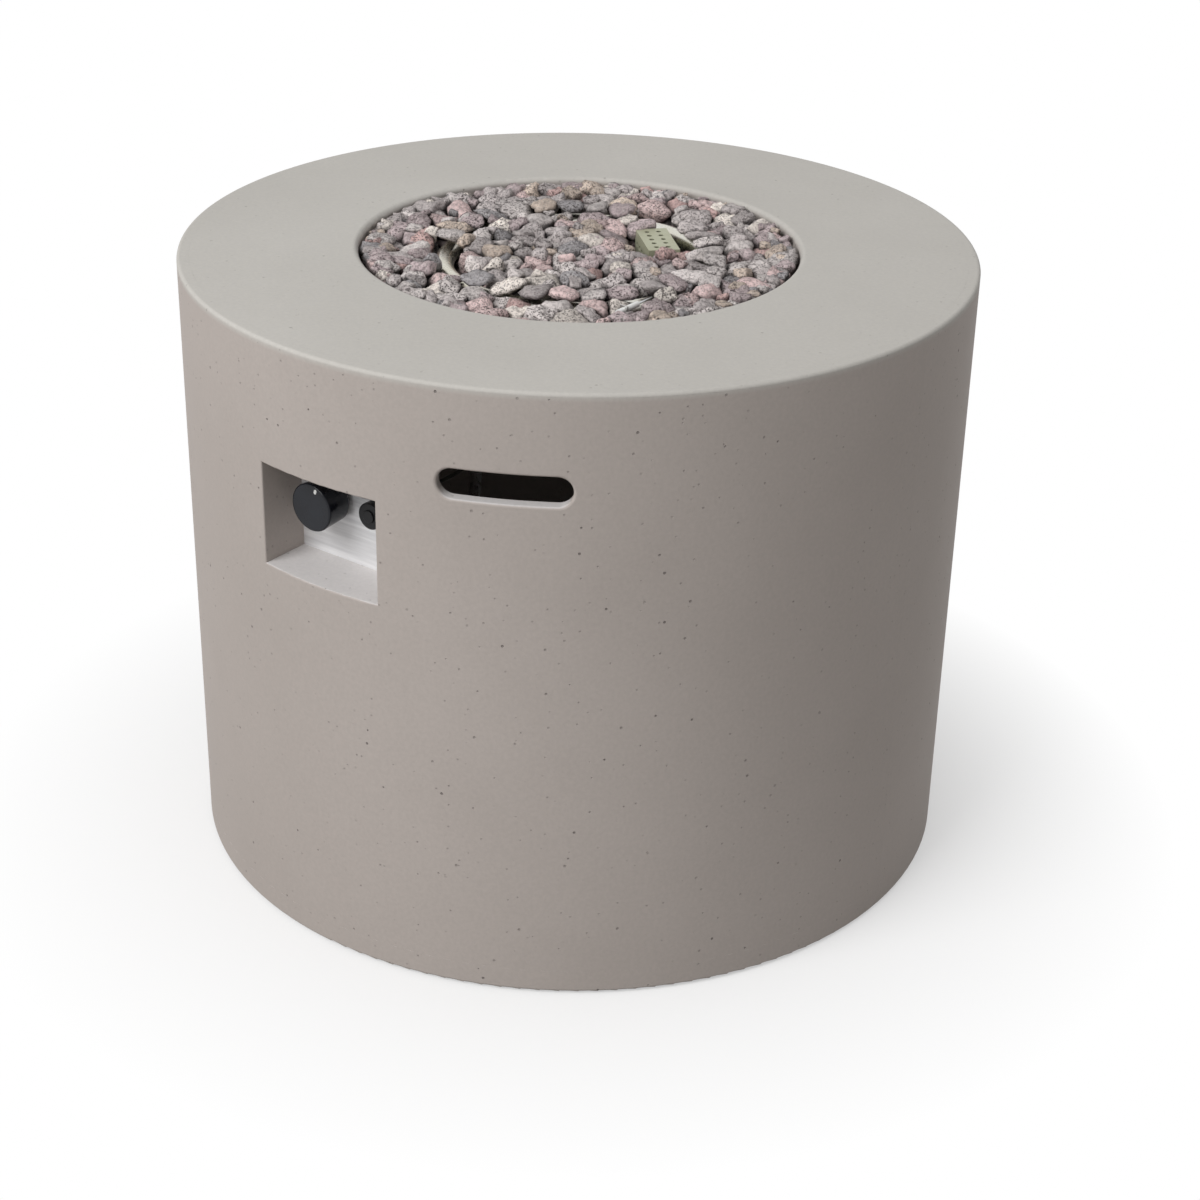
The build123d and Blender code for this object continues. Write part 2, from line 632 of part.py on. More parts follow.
def make_lock_nuts():
    """Two thin nuts that clamp the inlet stub to the pan floor."""
    hole = rod(STUB_DIAMETER / 2 + SLIDING_FIT, STUB_END_Z, BURNER_Z)
    upper = hexagon(LOCK_NUT_FLATS, PAN_FLOOR_Z, PAN_FLOOR_Z + LOCK_NUT_HEIGHT)
    lower = hexagon(LOCK_NUT_FLATS, PAN_UNDER_Z - LOCK_NUT_HEIGHT, PAN_UNDER_Z)
    place = Pos(STUB_X, STUB_Y, 0)
    return group([place * (upper - hole), place * (lower - hole)])


def make_air_mixer():
    """Brass body that lets air in between the gas jet and the burner."""
    body = rod(MIXER_DIAMETER / 2, MIXER_END_Z, MIXER_TOP_Z)
    body -= rod(STUB_DIAMETER / 2 + SLIDING_FIT, STUB_END_Z - SEAT_GAP, MIXER_TOP_Z + CUT_OVERRUN)
    body -= rod(MIXER_BORE / 2, MIXER_END_Z + MIXER_FLOOR, MIXER_TOP_Z)
    body -= rod(JET_DIAMETER / 2, MIXER_END_Z - CUT_OVERRUN, MIXER_TOP_Z)
    air_z = MIXER_END_Z + MIXER_FLOOR + MIXER_AIR_HOLE
    air = Pos(0, 0, air_z) * Rot(0, 90, 0) * Cylinder(MIXER_AIR_HOLE / 2, 2 * MIXER_DIAMETER)
    return Pos(STUB_X, STUB_Y, 0) * (body - air)


def make_gas_jet():
    """Drilled brass jet screwed into the floor of the mixer."""
    jet = rod(JET_DIAMETER / 2, MIXER_END_Z, MIXER_END_Z + JET_LENGTH)
    jet -= rod(JET_ORIFICE / 2, MIXER_END_Z - CUT_OVERRUN, MIXER_END_Z + JET_LENGTH + CUT_OVERRUN)
    return Pos(STUB_X, STUB_Y, 0) * jet


def gas_tube_ends():
    """Lower face of the valve's outlet boss and lower face of the mixer."""
    valve_y = PANEL_BACK_Y - PORT_DEPTH
    valve_z = CONTROL_Z - VALVE_HEIGHT / 2 - OUTLET_BOSS_LENGTH
    return (KNOB_OFFSET, valve_y, valve_z), (STUB_X, STUB_Y, MIXER_END_Z)


def make_gas_tube():
    """Bent tube that hangs in a U from the valve and rises into the mixer."""
    start, end = gas_tube_ends()
    dip_z = start[2] - GAS_TUBE_DIP
    span = abs(end[1] - start[1])
    bend = GAS_TUBE_BEND_SHARE * min(span, 2 * GAS_TUBE_DIP)
    points = [start, (start[0], start[1], dip_z), (end[0], end[1], dip_z), end]
    outer = swept_tube(points, GAS_TUBE_DIAMETER / 2, bend)
    return outer - swept_tube(points, GAS_TUBE_DIAMETER / 2 - GAS_TUBE_WALL, bend)


def make_tube_nuts():
    """Nuts at the two ends of the gas tube."""
    nut = hexagon(TUBE_NUT_FLATS, -TUBE_NUT_LENGTH, 0)
    nut -= rod(GAS_TUBE_DIAMETER / 2 + SLIDING_FIT, -TUBE_NUT_LENGTH - CUT_OVERRUN, CUT_OVERRUN)
    return group([Pos(*end) * nut for end in gas_tube_ends()])


def make_sensor_guard():
    """Perforated sheet cover over the thermocouple, open below, with a tab riveted to the pan."""
    height = GUARD_TOP_Z - PAN_FLOOR_Z
    inside = height - GUARD_SHEET
    guard = block(GUARD_WIDTH, GUARD_LENGTH, 0, height)
    guard -= block(GUARD_WIDTH - 2 * GUARD_SHEET, GUARD_LENGTH - 2 * GUARD_SHEET, -CUT_OVERRUN, inside)
    hole = GUARD_HOLE / 2
    through_top = rod(hole, inside - CUT_OVERRUN, height + CUT_OVERRUN)
    through_side = Rot(0, 90, 0) * rod(hole, -GUARD_WIDTH, 0)
    holes = []
    for row in range(GUARD_HOLE_ROWS):
        along = (row - (GUARD_HOLE_ROWS - 1) / 2) * GUARD_HOLE_PITCH
        for column in range(GUARD_HOLE_COLUMNS):
            across = (column - (GUARD_HOLE_COLUMNS - 1) / 2) * GUARD_HOLE_PITCH
            holes.append(Pos(across, along, 0) * through_top)
            holes.append(Pos(0, along, inside - (column + 1) * GUARD_HOLE_PITCH) * through_side)
    guard -= holes
    tab = Pos(guard_rivet_shift(), 0, 0) * block(GUARD_TAB, GUARD_TAB, 0, GUARD_SHEET)
    tab -= Pos(guard_rivet_shift(), 0, 0) * rivet_hole(0, GUARD_SHEET)
    return guard_place() * (guard + tab)


def make_sensor_probe():
    """Thermocouple rod that stands in the pan floor beside the ring."""
    rod_part = rod(PROBE_DIAMETER / 2, PAN_UNDER_Z, DECK_Z - PROBE_DROP)
    collar = rod(PROBE_COLLAR / 2, PAN_FLOOR_Z, PAN_FLOOR_Z + PROBE_COLLAR_HEIGHT)
    return Pos(PROBE_X, PROBE_Y, 0) * (rod_part + collar)


def sensor_lead_start():
    """Back end of the nut that joins the thermocouple lead to the valve."""
    x = KNOB_OFFSET + VALVE_WIDTH / 4
    y = PANEL_BACK_Y - VALVE_BACK + SENSOR_NUT_LENGTH
    return x, y, CONTROL_Z + VALVE_HEIGHT / 4


def make_sensor_lead():
    """Thin tube from the valve, under the pan on two clips, up to the thermocouple."""
    x, y, z = sensor_lead_start()
    first_run = 2 * SENSOR_LEAD_BEND
    points = [
        (x, y, z),
        (x, y + first_run, z),
        (PROBE_X, y + 2 * first_run, LEAD_Z),
        (PROBE_X, PROBE_Y, LEAD_Z),
        (PROBE_X, PROBE_Y, PAN_UNDER_Z),
    ]
    return swept_tube(points, SENSOR_LEAD_DIAMETER / 2, SENSOR_LEAD_BEND)


def make_sensor_nut():
    """Small nut at the back of the valve that takes the thermocouple lead."""
    x, y, z = sensor_lead_start()
    return Pos(x, y, z) * Rot(90, 0, 0) * hexagon(SENSOR_NUT_FLATS, 0, SENSOR_NUT_LENGTH)


def make_lead_clip(along):
    """Strap under the pan floor with an eye for the thermocouple lead."""
    low = LEAD_Z - CLIP_WIDTH / 2
    strap = Pos(PROBE_X, along, 0) * block(CLIP_WIDTH, CLIP_SHEET, low, PAN_UNDER_Z)
    eye = Cylinder(SENSOR_LEAD_DIAMETER / 2 + SLIDING_FIT, CLIP_WIDTH)
    strap -= Pos(PROBE_X, along, LEAD_Z) * Rot(90, 0, 0) * eye
    tab_middle = along + (CLIP_SHEET + CLIP_TAB) / 2
    tab = Pos(PROBE_X, tab_middle, 0) * block(CLIP_WIDTH, CLIP_TAB, PAN_UNDER_Z - CLIP_SHEET, PAN_UNDER_Z)
    hole = Pos(PROBE_X, tab_middle, 0) * rivet_hole(PAN_UNDER_Z - CLIP_SHEET, PAN_UNDER_Z)
    return strap + (tab - hole)


def make_ceramic():
    """White insulator of the spark electrode, lying along +Y."""
    ceramic = turned([
        (0, 0, 0),
        (CERAMIC_DIAMETER / 2, 0, 0),
        (CERAMIC_DIAMETER / 2, CERAMIC_LENGTH, CERAMIC_EDGE_RADIUS),
        (0, CERAMIC_LENGTH, 0),
    ])
    return Pos(ELECTRODE_X, CERAMIC_BACK_Y, ELECTRODE_Z) * Rot(-90, 0, 0) * ceramic


def make_spark_wire():
    """Bare wire from the front of the insulator to just above the ring tube."""
    wire = rod(SPARK_WIRE_DIAMETER / 2, 0, SPARK_WIRE_LENGTH)
    return Pos(ELECTRODE_X, CERAMIC_FRONT_Y, ELECTRODE_Z) * Rot(-90, 0, 0) * wire


def make_electrode_bracket():
    """Bent strap that holds the insulator level with the top of the ring."""
    top = ELECTRODE_Z + BRACKET_WIDTH / 2
    post = Pos(ELECTRODE_X, BRACKET_Y, 0) * block(BRACKET_WIDTH, BRACKET_SHEET, PAN_FLOOR_Z, top)
    eye = Cylinder(CERAMIC_DIAMETER / 2 + SLIDING_FIT, BRACKET_WIDTH)
    post -= Pos(ELECTRODE_X, BRACKET_Y, ELECTRODE_Z) * Rot(90, 0, 0) * eye
    foot_y = BRACKET_Y + (BRACKET_SHEET + BRACKET_FOOT) / 2
    foot = block(BRACKET_WIDTH, BRACKET_FOOT, PAN_FLOOR_Z, PAN_FLOOR_Z + BRACKET_SHEET)
    foot -= rivet_hole(PAN_FLOOR_Z, PAN_FLOOR_Z + BRACKET_SHEET)
    return post + Pos(ELECTRODE_X, foot_y, 0) * foot


def make_lead_grommet():
    """Bush that carries the spark lead through the pan floor."""
    bore = SPARK_LEAD_DIAMETER / 2 + SLIDING_FIT
    flange = sleeve(GROMMET_FLANGE / 2, bore, PAN_FLOOR_Z, PAN_FLOOR_Z + GROMMET_LIP)
    neck = sleeve(GROMMET_HOLE / 2, bore, PAN_UNDER_Z, PAN_FLOOR_Z)
    lip = sleeve(GROMMET_FLANGE / 2, bore, PAN_UNDER_Z - GROMMET_LIP, PAN_UNDER_Z)
    return Pos(ELECTRODE_X, SPARK_HOLE_Y, 0) * (flange + neck + lip)


def make_spark_lead():
    """Insulated lead from the back of the igniter up through the pan to the electrode."""
    start_y = PANEL_BACK_Y - IGNITER_BACK + TERMINAL_LENGTH
    first_run = 2 * SPARK_LEAD_BEND
    halfway = (IGNITER_OFFSET + ELECTRODE_X) / 2
    points = [
        (IGNITER_OFFSET, start_y, CONTROL_Z),
        (IGNITER_OFFSET, start_y + first_run, CONTROL_Z),
        (halfway, SPARK_HOLE_Y - first_run, LEAD_Z),
        (ELECTRODE_X, SPARK_HOLE_Y, LEAD_Z),
        (ELECTRODE_X, SPARK_HOLE_Y, ELECTRODE_Z),
        (ELECTRODE_X, CERAMIC_BACK_Y, ELECTRODE_Z),
    ]
    top_bend = SPARK_LEAD_TOP_BEND - SEAT_GAP
    bends = [SPARK_LEAD_BEND, SPARK_LEAD_BEND, SPARK_LEAD_BEND, top_bend]
    return swept_tube(points, SPARK_LEAD_DIAMETER / 2, bends)


def make_control_panel():
    """Plain sheet that closes the back of the pocket, with holes for the controls and screws."""
    lap = POCKET_WALL - PANEL_LAP_LEFT_OVER
    panel = pocket_box(POCKET_WIDTH + 2 * lap, POCKET_HEIGHT + 2 * lap, PANEL_FRONT_Y, PANEL_BACK_Y)
    through = (-CUT_OVERRUN, PANEL_SHEET + CUT_OVERRUN)
    panel -= at_control(KNOB_OFFSET) * rod(COVER_NECK_DIAMETER / 2 + HOLE_FIT, *through)
    panel -= at_control(IGNITER_OFFSET) * rod(IGNITER_BODY / 2 + HOLE_FIT, *through)
    for spot in valve_screw_spots():
        panel -= at_control(KNOB_OFFSET) * spot * rod(VALVE_SCREW_SHANK / 2 + HOLE_FIT, *through)
    for place in panel_screw_places():
        panel -= place * rod(PANEL_SCREW_SHANK / 2 + HOLE_FIT, *through)
    return panel


def make_panel_screw():
    """Screw from behind the panel into an insert in the pocket's wall."""
    head = rod(PANEL_SCREW_HEAD / 2, -PANEL_SCREW_HEAD_HEIGHT, 0)
    return head + rod(PANEL_SCREW_SHANK / 2, 0, PANEL_SHEET + INSERT_LENGTH - SEAT_GAP)


def make_panel_insert():
    """Threaded insert cast into the pocket's wall."""
    return sleeve(INSERT_DIAMETER / 2, PANEL_SCREW_SHANK / 2, PANEL_SHEET, PANEL_SHEET + INSERT_LENGTH)


def valve_screw_spots():
    """Two screws in opposite corners of the valve cover, hidden behind the knob."""
    return [Pos(spread, spread, 0) for spread in (VALVE_SCREW_SPREAD, -VALVE_SCREW_SPREAD)]


def make_valve_screws():
    """Screws through the panel and the valve cover into the valve body."""
    screw = rod(VALVE_SCREW_HEAD / 2, PANEL_SHEET, PANEL_SHEET + VALVE_SCREW_HEAD_HEIGHT)
    screw += rod(VALVE_SCREW_SHANK / 2, -COVER_THICKNESS - VALVE_SCREW_BITE, PANEL_SHEET)
    return at_control(KNOB_OFFSET) * group([spot * screw for spot in valve_screw_spots()])


def make_valve_body():
    """Cast block with the spring chamber, the tapered seat for the plug and the gas passages."""
    body = block(VALVE_WIDTH, VALVE_HEIGHT, VALVE_BACK, -COVER_THICKNESS)
    body = fillet(body.edges().filter_by(Axis.Z), VALVE_EDGE_RADIUS)
    outlet = Pos(0, 0, PORT_DEPTH) * Rot(90, 0, 0)
    body += outlet * rod(OUTLET_BOSS / 2, 0, VALVE_HEIGHT / 2 + OUTLET_BOSS_LENGTH)
    front = PLUG_FRONT_DIAMETER / 2 + RUNNING_FIT
    back = PLUG_BACK_DIAMETER / 2 + RUNNING_FIT
    body -= rod(SPRING_CHAMBER / 2, CHAMBER_BACK, 0)
    body -= cone(back, front, PLUG_BACK - SEAT_GAP, CHAMBER_BACK)
    body -= rod(PLUG_BACK_DIAMETER / 2 - PLUG_SHOULDER, VALVE_BACK + VALVE_BACK_WALL, PLUG_BACK)
    passage = rod(GAS_PASSAGE / 2, 0, VALVE_HEIGHT)
    body -= outlet * passage
    body -= Pos(0, 0, GAS_CHAMBER_DEPTH) * Rot(0, -90, 0) * passage
    bite = rod(VALVE_SCREW_SHANK / 2, -COVER_THICKNESS - VALVE_SCREW_BITE - CUT_OVERRUN, 0)
    for spot in valve_screw_spots():
        body -= spot * bite
    return at_control(KNOB_OFFSET) * body


def make_valve_cover():
    """Front plate of the valve, with the neck that guides the stem through the panel."""
    plate = block(VALVE_WIDTH, VALVE_HEIGHT, -COVER_THICKNESS, 0)
    plate = fillet(plate.edges().filter_by(Axis.Z), VALVE_EDGE_RADIUS)
    plate += rod(COVER_NECK_DIAMETER / 2, 0, COVER_NECK_LENGTH)
    back = -COVER_THICKNESS - CUT_OVERRUN
    plate -= rod(STEM_DIAMETER / 2 + RUNNING_FIT, back, COVER_NECK_LENGTH + CUT_OVERRUN)
    hole = rod(VALVE_SCREW_SHANK / 2 + HOLE_FIT, back, CUT_OVERRUN)
    for spot in valve_screw_spots():
        plate -= spot * hole
    return at_control(KNOB_OFFSET) * plate


def make_valve_plug():
    """Tapered brass plug with a socket for the stem, a slot for its drive pin and two gas ports."""
    plug = cone(PLUG_BACK_DIAMETER / 2, PLUG_FRONT_DIAMETER / 2, PLUG_BACK, CHAMBER_BACK)
    plug -= rod(STEM_DIAMETER / 2 + SLIDING_FIT, CHAMBER_BACK - PLUG_SOCKET, CHAMBER_BACK + CUT_OVERRUN)
    slot_end = DRIVE_PIN_DEPTH - PUSH_TRAVEL - DRIVE_PIN_DIAMETER
    slot_length = DRIVE_PIN_LENGTH + 4 * SLIDING_FIT
    plug -= block(slot_length, DRIVE_PIN_DIAMETER + 2 * SLIDING_FIT, slot_end, CHAMBER_BACK + CUT_OVERRUN)
    plug -= rod(PLUG_PORT / 2, PLUG_BACK - CUT_OVERRUN, PORT_DEPTH)
    plug -= Pos(0, 0, PORT_DEPTH) * Rot(0, -90, 0) * rod(PLUG_PORT / 2, 0, PLUG_FRONT_DIAMETER)
    plug -= Pos(0, 0, PORT_DEPTH) * Rot(-90, 0, 0) * rod(PLUG_LOW_PORT / 2, 0, PLUG_FRONT_DIAMETER)
    return at_control(KNOB_OFFSET) * plug


def d_bar(radius, flat, low, high):
    """Round bar with one flat on its +X side."""
    section = Circle(radius) & (Pos(flat - radius, 0) * Rectangle(2 * radius, 2 * radius))
    return Pos(0, 0, low) * extrude(section, amount=high - low)


def make_valve_stem():
    """Stem with a flat for the knob, a collar under the spring and a cross pin that drives the plug."""
    stem = rod(STEM_DIAMETER / 2, STEM_BACK, HUB_BACK)
    stem += d_bar(STEM_DIAMETER / 2, STEM_FLAT, HUB_BACK, STEM_FRONT)
    stem += rod(STEM_COLLAR / 2, COLLAR_BACK, COLLAR_FRONT)
    pin = Rot(0, 90, 0) * Cylinder(DRIVE_PIN_DIAMETER / 2, DRIVE_PIN_LENGTH)
    return at_control(KNOB_OFFSET) * (stem + Pos(0, 0, DRIVE_PIN_DEPTH) * pin)


def make_stem_spring():
    """Return spring between the plug and the stem's collar, as a plain sleeve."""
    outer = STEM_SPRING_DIAMETER / 2
    spring = sleeve(outer, outer - SPRING_WIRE, CHAMBER_BACK + SEAT_GAP, COLLAR_BACK - SEAT_GAP)
    return at_control(KNOB_OFFSET) * spring


def mark_solid():
    """White mark let into the knob's face near its edge, just clockwise of the top when the gas is off."""
    rise = KNOB_DIAMETER / 2 - KNOB_MARK_INSET - KNOB_MARK_LENGTH / 2
    outline = SlotOverall(KNOB_MARK_LENGTH, KNOB_MARK_WIDTH, rotation=90)
    place = Rot(0, 0, -KNOB_MARK_TURN) * Pos(0, rise, KNOB_FRONT)
    return place * extrude(outline, -KNOB_MARK_DEPTH)


def make_control_knob():
    """Moulded knob with a flat round face, a skirt that narrows to the back and a hub for the stem."""
    knob = turned([
        (0, KNOB_BACK, 0),
        (KNOB_BACK_DIAMETER / 2, KNOB_BACK, KNOB_EDGE_RADIUS / 2),
        (KNOB_DIAMETER / 2, KNOB_FRONT, KNOB_EDGE_RADIUS),
        (0, KNOB_FRONT, 0),
    ])
    inside = KNOB_BACK_DIAMETER / 2 - KNOB_SKIN
    knob -= sleeve(inside, KNOB_HUB / 2, KNOB_BACK - CUT_OVERRUN, KNOB_FRONT - KNOB_FACE_WALL)
    knob -= rod(inside, KNOB_BACK - CUT_OVERRUN, HUB_BACK)
    socket = STEM_DIAMETER / 2 + RUNNING_FIT
    knob -= d_bar(socket, STEM_FLAT + RUNNING_FIT, HUB_BACK - CUT_OVERRUN, STEM_FRONT)
    return at_control(KNOB_OFFSET) * (knob - mark_solid())


def make_inlet_fitting():
    """Brass elbow on the left of the valve with a flared end for the supply hose."""
    side = VALVE_WIDTH / 2
    sideways = Pos(-side, 0, 0) * Rot(0, -90, 0)
    down = Pos(-side - INLET_REACH, 0, 0)
    collar_low = -INLET_BODY / 2 - INLET_COLLAR_LENGTH
    forging = Box(INLET_BODY, INLET_BODY, INLET_BODY)
    elbow = down * fillet(forging.edges(), INLET_EDGE_RADIUS)
    elbow += sideways * rod(INLET_ARM / 2, 0, INLET_REACH)
    elbow += down * hexagon(INLET_COLLAR_FLATS, collar_low, -INLET_BODY / 2)
    elbow += down * rod(INLET_THREAD_DIAMETER / 2, collar_low - INLET_THREAD_LENGTH, collar_low)
    elbow -= down * rod(INLET_BORE / 2, collar_low - INLET_THREAD_LENGTH - CUT_OVERRUN, 0)
    elbow -= sideways * rod(INLET_BORE / 2, -CUT_OVERRUN, INLET_REACH)
    return Pos(KNOB_OFFSET, PANEL_BACK_Y - GAS_CHAMBER_DEPTH, CONTROL_Z) * elbow


def make_igniter_housing():
    """Plastic tube through the panel that holds the battery, with its terminal at the back."""
    housing = rod(IGNITER_BODY / 2, IGNITER_BACK, PANEL_SHEET)
    housing += rod(CAP_DIAMETER / 2 - SEAT_GAP, PANEL_SHEET, FLANGE_FRONT)
    housing += rod(IGNITER_NECK / 2, FLANGE_FRONT, NECK_FRONT)
    housing += rod(TERMINAL_DIAMETER / 2, IGNITER_BACK - TERMINAL_LENGTH, IGNITER_BACK)
    housing -= rod(IGNITER_BORE / 2, BORE_BACK, NECK_FRONT + CUT_OVERRUN)
    return at_control(IGNITER_OFFSET) * housing


def make_igniter_nut():
    """Nut that clamps the igniter behind the panel."""
    nut = hexagon(IGNITER_NUT_FLATS, -IGNITER_NUT_HEIGHT, 0)
    nut -= rod(IGNITER_BODY / 2 + SLIDING_FIT, -IGNITER_NUT_HEIGHT - CUT_OVERRUN, CUT_OVERRUN)
    return at_control(IGNITER_OFFSET) * nut


def make_igniter_cap():
    """Screw cap on the igniter's neck, with a round opening for the button."""
    cap = turned([
        (0, CAP_BACK, 0),
        (CAP_DIAMETER / 2, CAP_BACK, 0),
        (CAP_DIAMETER / 2, CAP_FRONT, CAP_EDGE_RADIUS),
        (0, CAP_FRONT, 0),
    ])
    cap -= rod(IGNITER_NECK / 2 + SLIDING_FIT, CAP_BACK - CUT_OVERRUN, CAP_FRONT - CAP_FACE)
    cap -= rod(BUTTON_HEAD / 2 + HOLE_FIT, CAP_BACK, CAP_FRONT + CUT_OVERRUN)
    return at_control(IGNITER_OFFSET) * cap


def make_igniter_button():
    """Push button held behind the cap by its flange."""
    head = turned([
        (0, NECK_FRONT, 0),
        (BUTTON_HEAD / 2, NECK_FRONT, 0),
        (BUTTON_HEAD / 2, CAP_FRONT + BUTTON_PROUD, BUTTON_PROUD / 2),
        (0, CAP_FRONT + BUTTON_PROUD, 0),
    ])
    return at_control(IGNITER_OFFSET) * (head + rod(BUTTON_FLANGE / 2, BUTTON_FLANGE_BACK, NECK_FRONT))


def make_button_spring():
    """Return spring between the battery and the button, as a plain sleeve."""
    outer = BUTTON_SPRING_DIAMETER / 2
    spring = sleeve(outer, outer - SPRING_WIRE, BATTERY_FRONT + SEAT_GAP, BUTTON_FLANGE_BACK - SEAT_GAP)
    return at_control(IGNITER_OFFSET) * spring


def make_battery():
    """Round cell with its raised pole at the back."""
    cell = rod(BATTERY_DIAMETER / 2, BATTERY_BACK + BATTERY_NUB_HEIGHT, BATTERY_FRONT)
    pole = rod(BATTERY_NUB / 2, BATTERY_BACK, BATTERY_BACK + BATTERY_NUB_HEIGHT)
    return at_control(IGNITER_OFFSET) * (cell + pole)


def make_battery_spring():
    """Spring at the back of the battery, as a plain sleeve round the raised pole."""
    outer = BATTERY_SPRING_DIAMETER / 2
    back = BORE_BACK + SEAT_GAP
    front = BATTERY_BACK + BATTERY_NUB_HEIGHT - SEAT_GAP
    return at_control(IGNITER_OFFSET) * sleeve(outer, outer - SPRING_WIRE, back, front)


def make_rock_bed():
    """Lower lava rock as one body that fills the pan round the burner's feed, legs, guard and electrode."""
    floor = PAN_FLOOR_Z + SEAT_GAP
    flat = PAN_FLAT_RADIUS - SEAT_GAP
    bed = turned([
        (0, floor, 0),
        (flat, floor, 0),
        (PAN_FLOOR_RADIUS - PAN_SHEET - SEAT_GAP, floor + PAN_CORNER_RADIUS, 0),
        (PAN_WALL_RADIUS - PAN_SHEET - SEAT_GAP, PAN_TOP_Z - SEAT_GAP, 0),
        (0, PAN_TOP_Z - SEAT_GAP, 0),
    ])
    height = (0, DECK_Z - PAN_FLOOR_Z)
    room = 2 * WELL_CLEARANCE
    bed -= Pos(0, 0, BURNER_Z) * Torus(BURNER_RADIUS, BURNER_TUBE / 2 + SEAT_GAP)
    feed = rod(LOCK_NUT_FLATS / math.sqrt(3) + WELL_CLEARANCE, PAN_FLOOR_Z, DECK_Z)
    bed -= Pos(STUB_X, STUB_Y, 0) * feed
    for turn in LEG_TURNS:
        well = block(2 * LEG_FOOT_LENGTH + room, LEG_WIDTH + room, *height)
        bed -= leg_place(turn) * well
    cover = block(GUARD_WIDTH + room, GUARD_LENGTH + room, *height)
    cover += Pos(guard_rivet_shift(), 0, 0) * block(GUARD_TAB + room, GUARD_TAB + room, *height)
    bed -= guard_place() * cover
    for place, above, _ in rivet_places():
        head_top = above + RIVET_HEAD_HEIGHT + WELL_CLEARANCE
        bed -= place * rod(RIVET_HEAD / 2 + WELL_CLEARANCE, 0, head_top)
    back = SPARK_HOLE_Y - GROMMET_FLANGE / 2 - WELL_CLEARANCE
    front = BRACKET_Y + BRACKET_FOOT + room
    stand = block(GROMMET_FLANGE + room, front - back, *height)
    return bed - Pos(ELECTRODE_X, (back + front) / 2, PAN_FLOOR_Z) * stand


def clip(outline, direction, limit):
    """The part of a convex outline that lies no further than the limit along a direction."""
    kept = []
    for start, end in zip(outline, outline[1:] + outline[:1]):
        start_over = start[0] * direction[0] + start[1] * direction[1] - limit
        end_over = end[0] * direction[0] + end[1] * direction[1] - limit
        if start_over <= 0:
            kept.append(start)
        if start_over * end_over < 0:
            share = start_over / (start_over - end_over)
            kept.append(tuple(s + share * (e - s) for s, e in zip(start, end)))
    return kept


def field_middles(dice):
    """Scattered rock middles: a sunflower spiral, each shifted a little, clear of the row on the ring."""
    field = OPENING_RADIUS - ROCK_SIZE / 2
    count = round(math.pi * field ** 2 / (ROCK_SIZE ** 2 * math.sqrt(3) / 2))
    golden_turn = math.pi * (3 - math.sqrt(5))
    shift = ROCK_SHIFT * ROCK_SIZE
    middles = []
    for k in range(count):
        radius = field * math.sqrt((k + 0.5) / count)
        x = radius * math.cos(k * golden_turn) + dice.uniform(-shift, shift)
        y = radius * math.sin(k * golden_turn) + dice.uniform(-shift, shift)
        if abs(math.hypot(x, y) - BURNER_RADIUS) > ROCK_ROW_CLEARANCE:
            middles.append((x, y))
    return middles


def row_middles(dice):
    """Rock middles in an uneven row along the ring."""
    count = round(2 * math.pi * BURNER_RADIUS / ROCK_SIZE)
    shift = ROCK_SHIFT * ROCK_SIZE / 2
    middles = []
    for k in range(count):
        turn = 2 * math.pi / count * (k + dice.uniform(-ROCK_SHIFT, ROCK_SHIFT))
        radius = BURNER_RADIUS + dice.uniform(-shift, shift)
        middles.append((radius * math.cos(turn), radius * math.sin(turn)))
    return middles


def rock_cell(middle, middles):
    """Ground that lies nearer to this rock's middle than to any other, inside the opening."""
    reach = 2 * ROCK_SIZE
    x, y = middle
    cell = [(x - reach, y - reach), (x + reach, y - reach), (x + reach, y + reach), (x - reach, y + reach)]
    for other in middles:
        distance = math.dist(middle, other)
        if 0 < distance < 2 * reach:
            direction = ((other[0] - x) / distance, (other[1] - y) / distance)
            halfway = x * direction[0] + y * direction[1] + distance / 2
            cell = clip(cell, direction, halfway - ROCK_GAP / 2)
    out = math.hypot(x, y)
    rim = math.sqrt(OPENING_RADIUS ** 2 - ROCK_RIM_REACH ** 2) - ROCK_GAP
    return clip(cell, (x / out, y / out), rim)


def keep_out_frames():
    """Upright things that rock lies beside: middle, direction, half length and half width in plan."""
    turn = math.radians(GUARD_TURN + GUARD_SKEW)
    room = SEAT_GAP + ROCK_GAP / 2
    across = (math.cos(turn), math.sin(turn))
    guard = ((PROBE_X, PROBE_Y), across, GUARD_WIDTH / 2 + room, GUARD_LENGTH / 2 + room)
    back = SPARK_HOLE_Y - SPARK_LEAD_DIAMETER
    front = CERAMIC_FRONT_Y + SPARK_WIRE_LENGTH + room
    middle = (ELECTRODE_X, (back + front) / 2)
    electrode = (middle, (0, 1), (front - back) / 2, BRACKET_WIDTH / 2 + room)
    return [guard, electrode]


def clear_of_frames(cell, middle):
    """Cut a rock's outline back from the guard and the electrode, or return nothing if it is too close."""
    for centre, direction, half_length, half_width in keep_out_frames():
        across = (-direction[1], direction[0])
        offset = (middle[0] - centre[0], middle[1] - centre[1])
        along = offset[0] * direction[0] + offset[1] * direction[1]
        aside = offset[0] * across[0] + offset[1] * across[1]
        if abs(along) - half_length > abs(aside) - half_width:
            axis, distance, half = direction, along, half_length
        else:
            axis, distance, half = across, aside, half_width
        if abs(distance) - half < 0:
            return []
        away = (-axis[0], -axis[1]) if distance > 0 else axis
        edge = centre[0] * away[0] + centre[1] * away[1] - half
        cell = clip(cell, away, edge)
    return cell


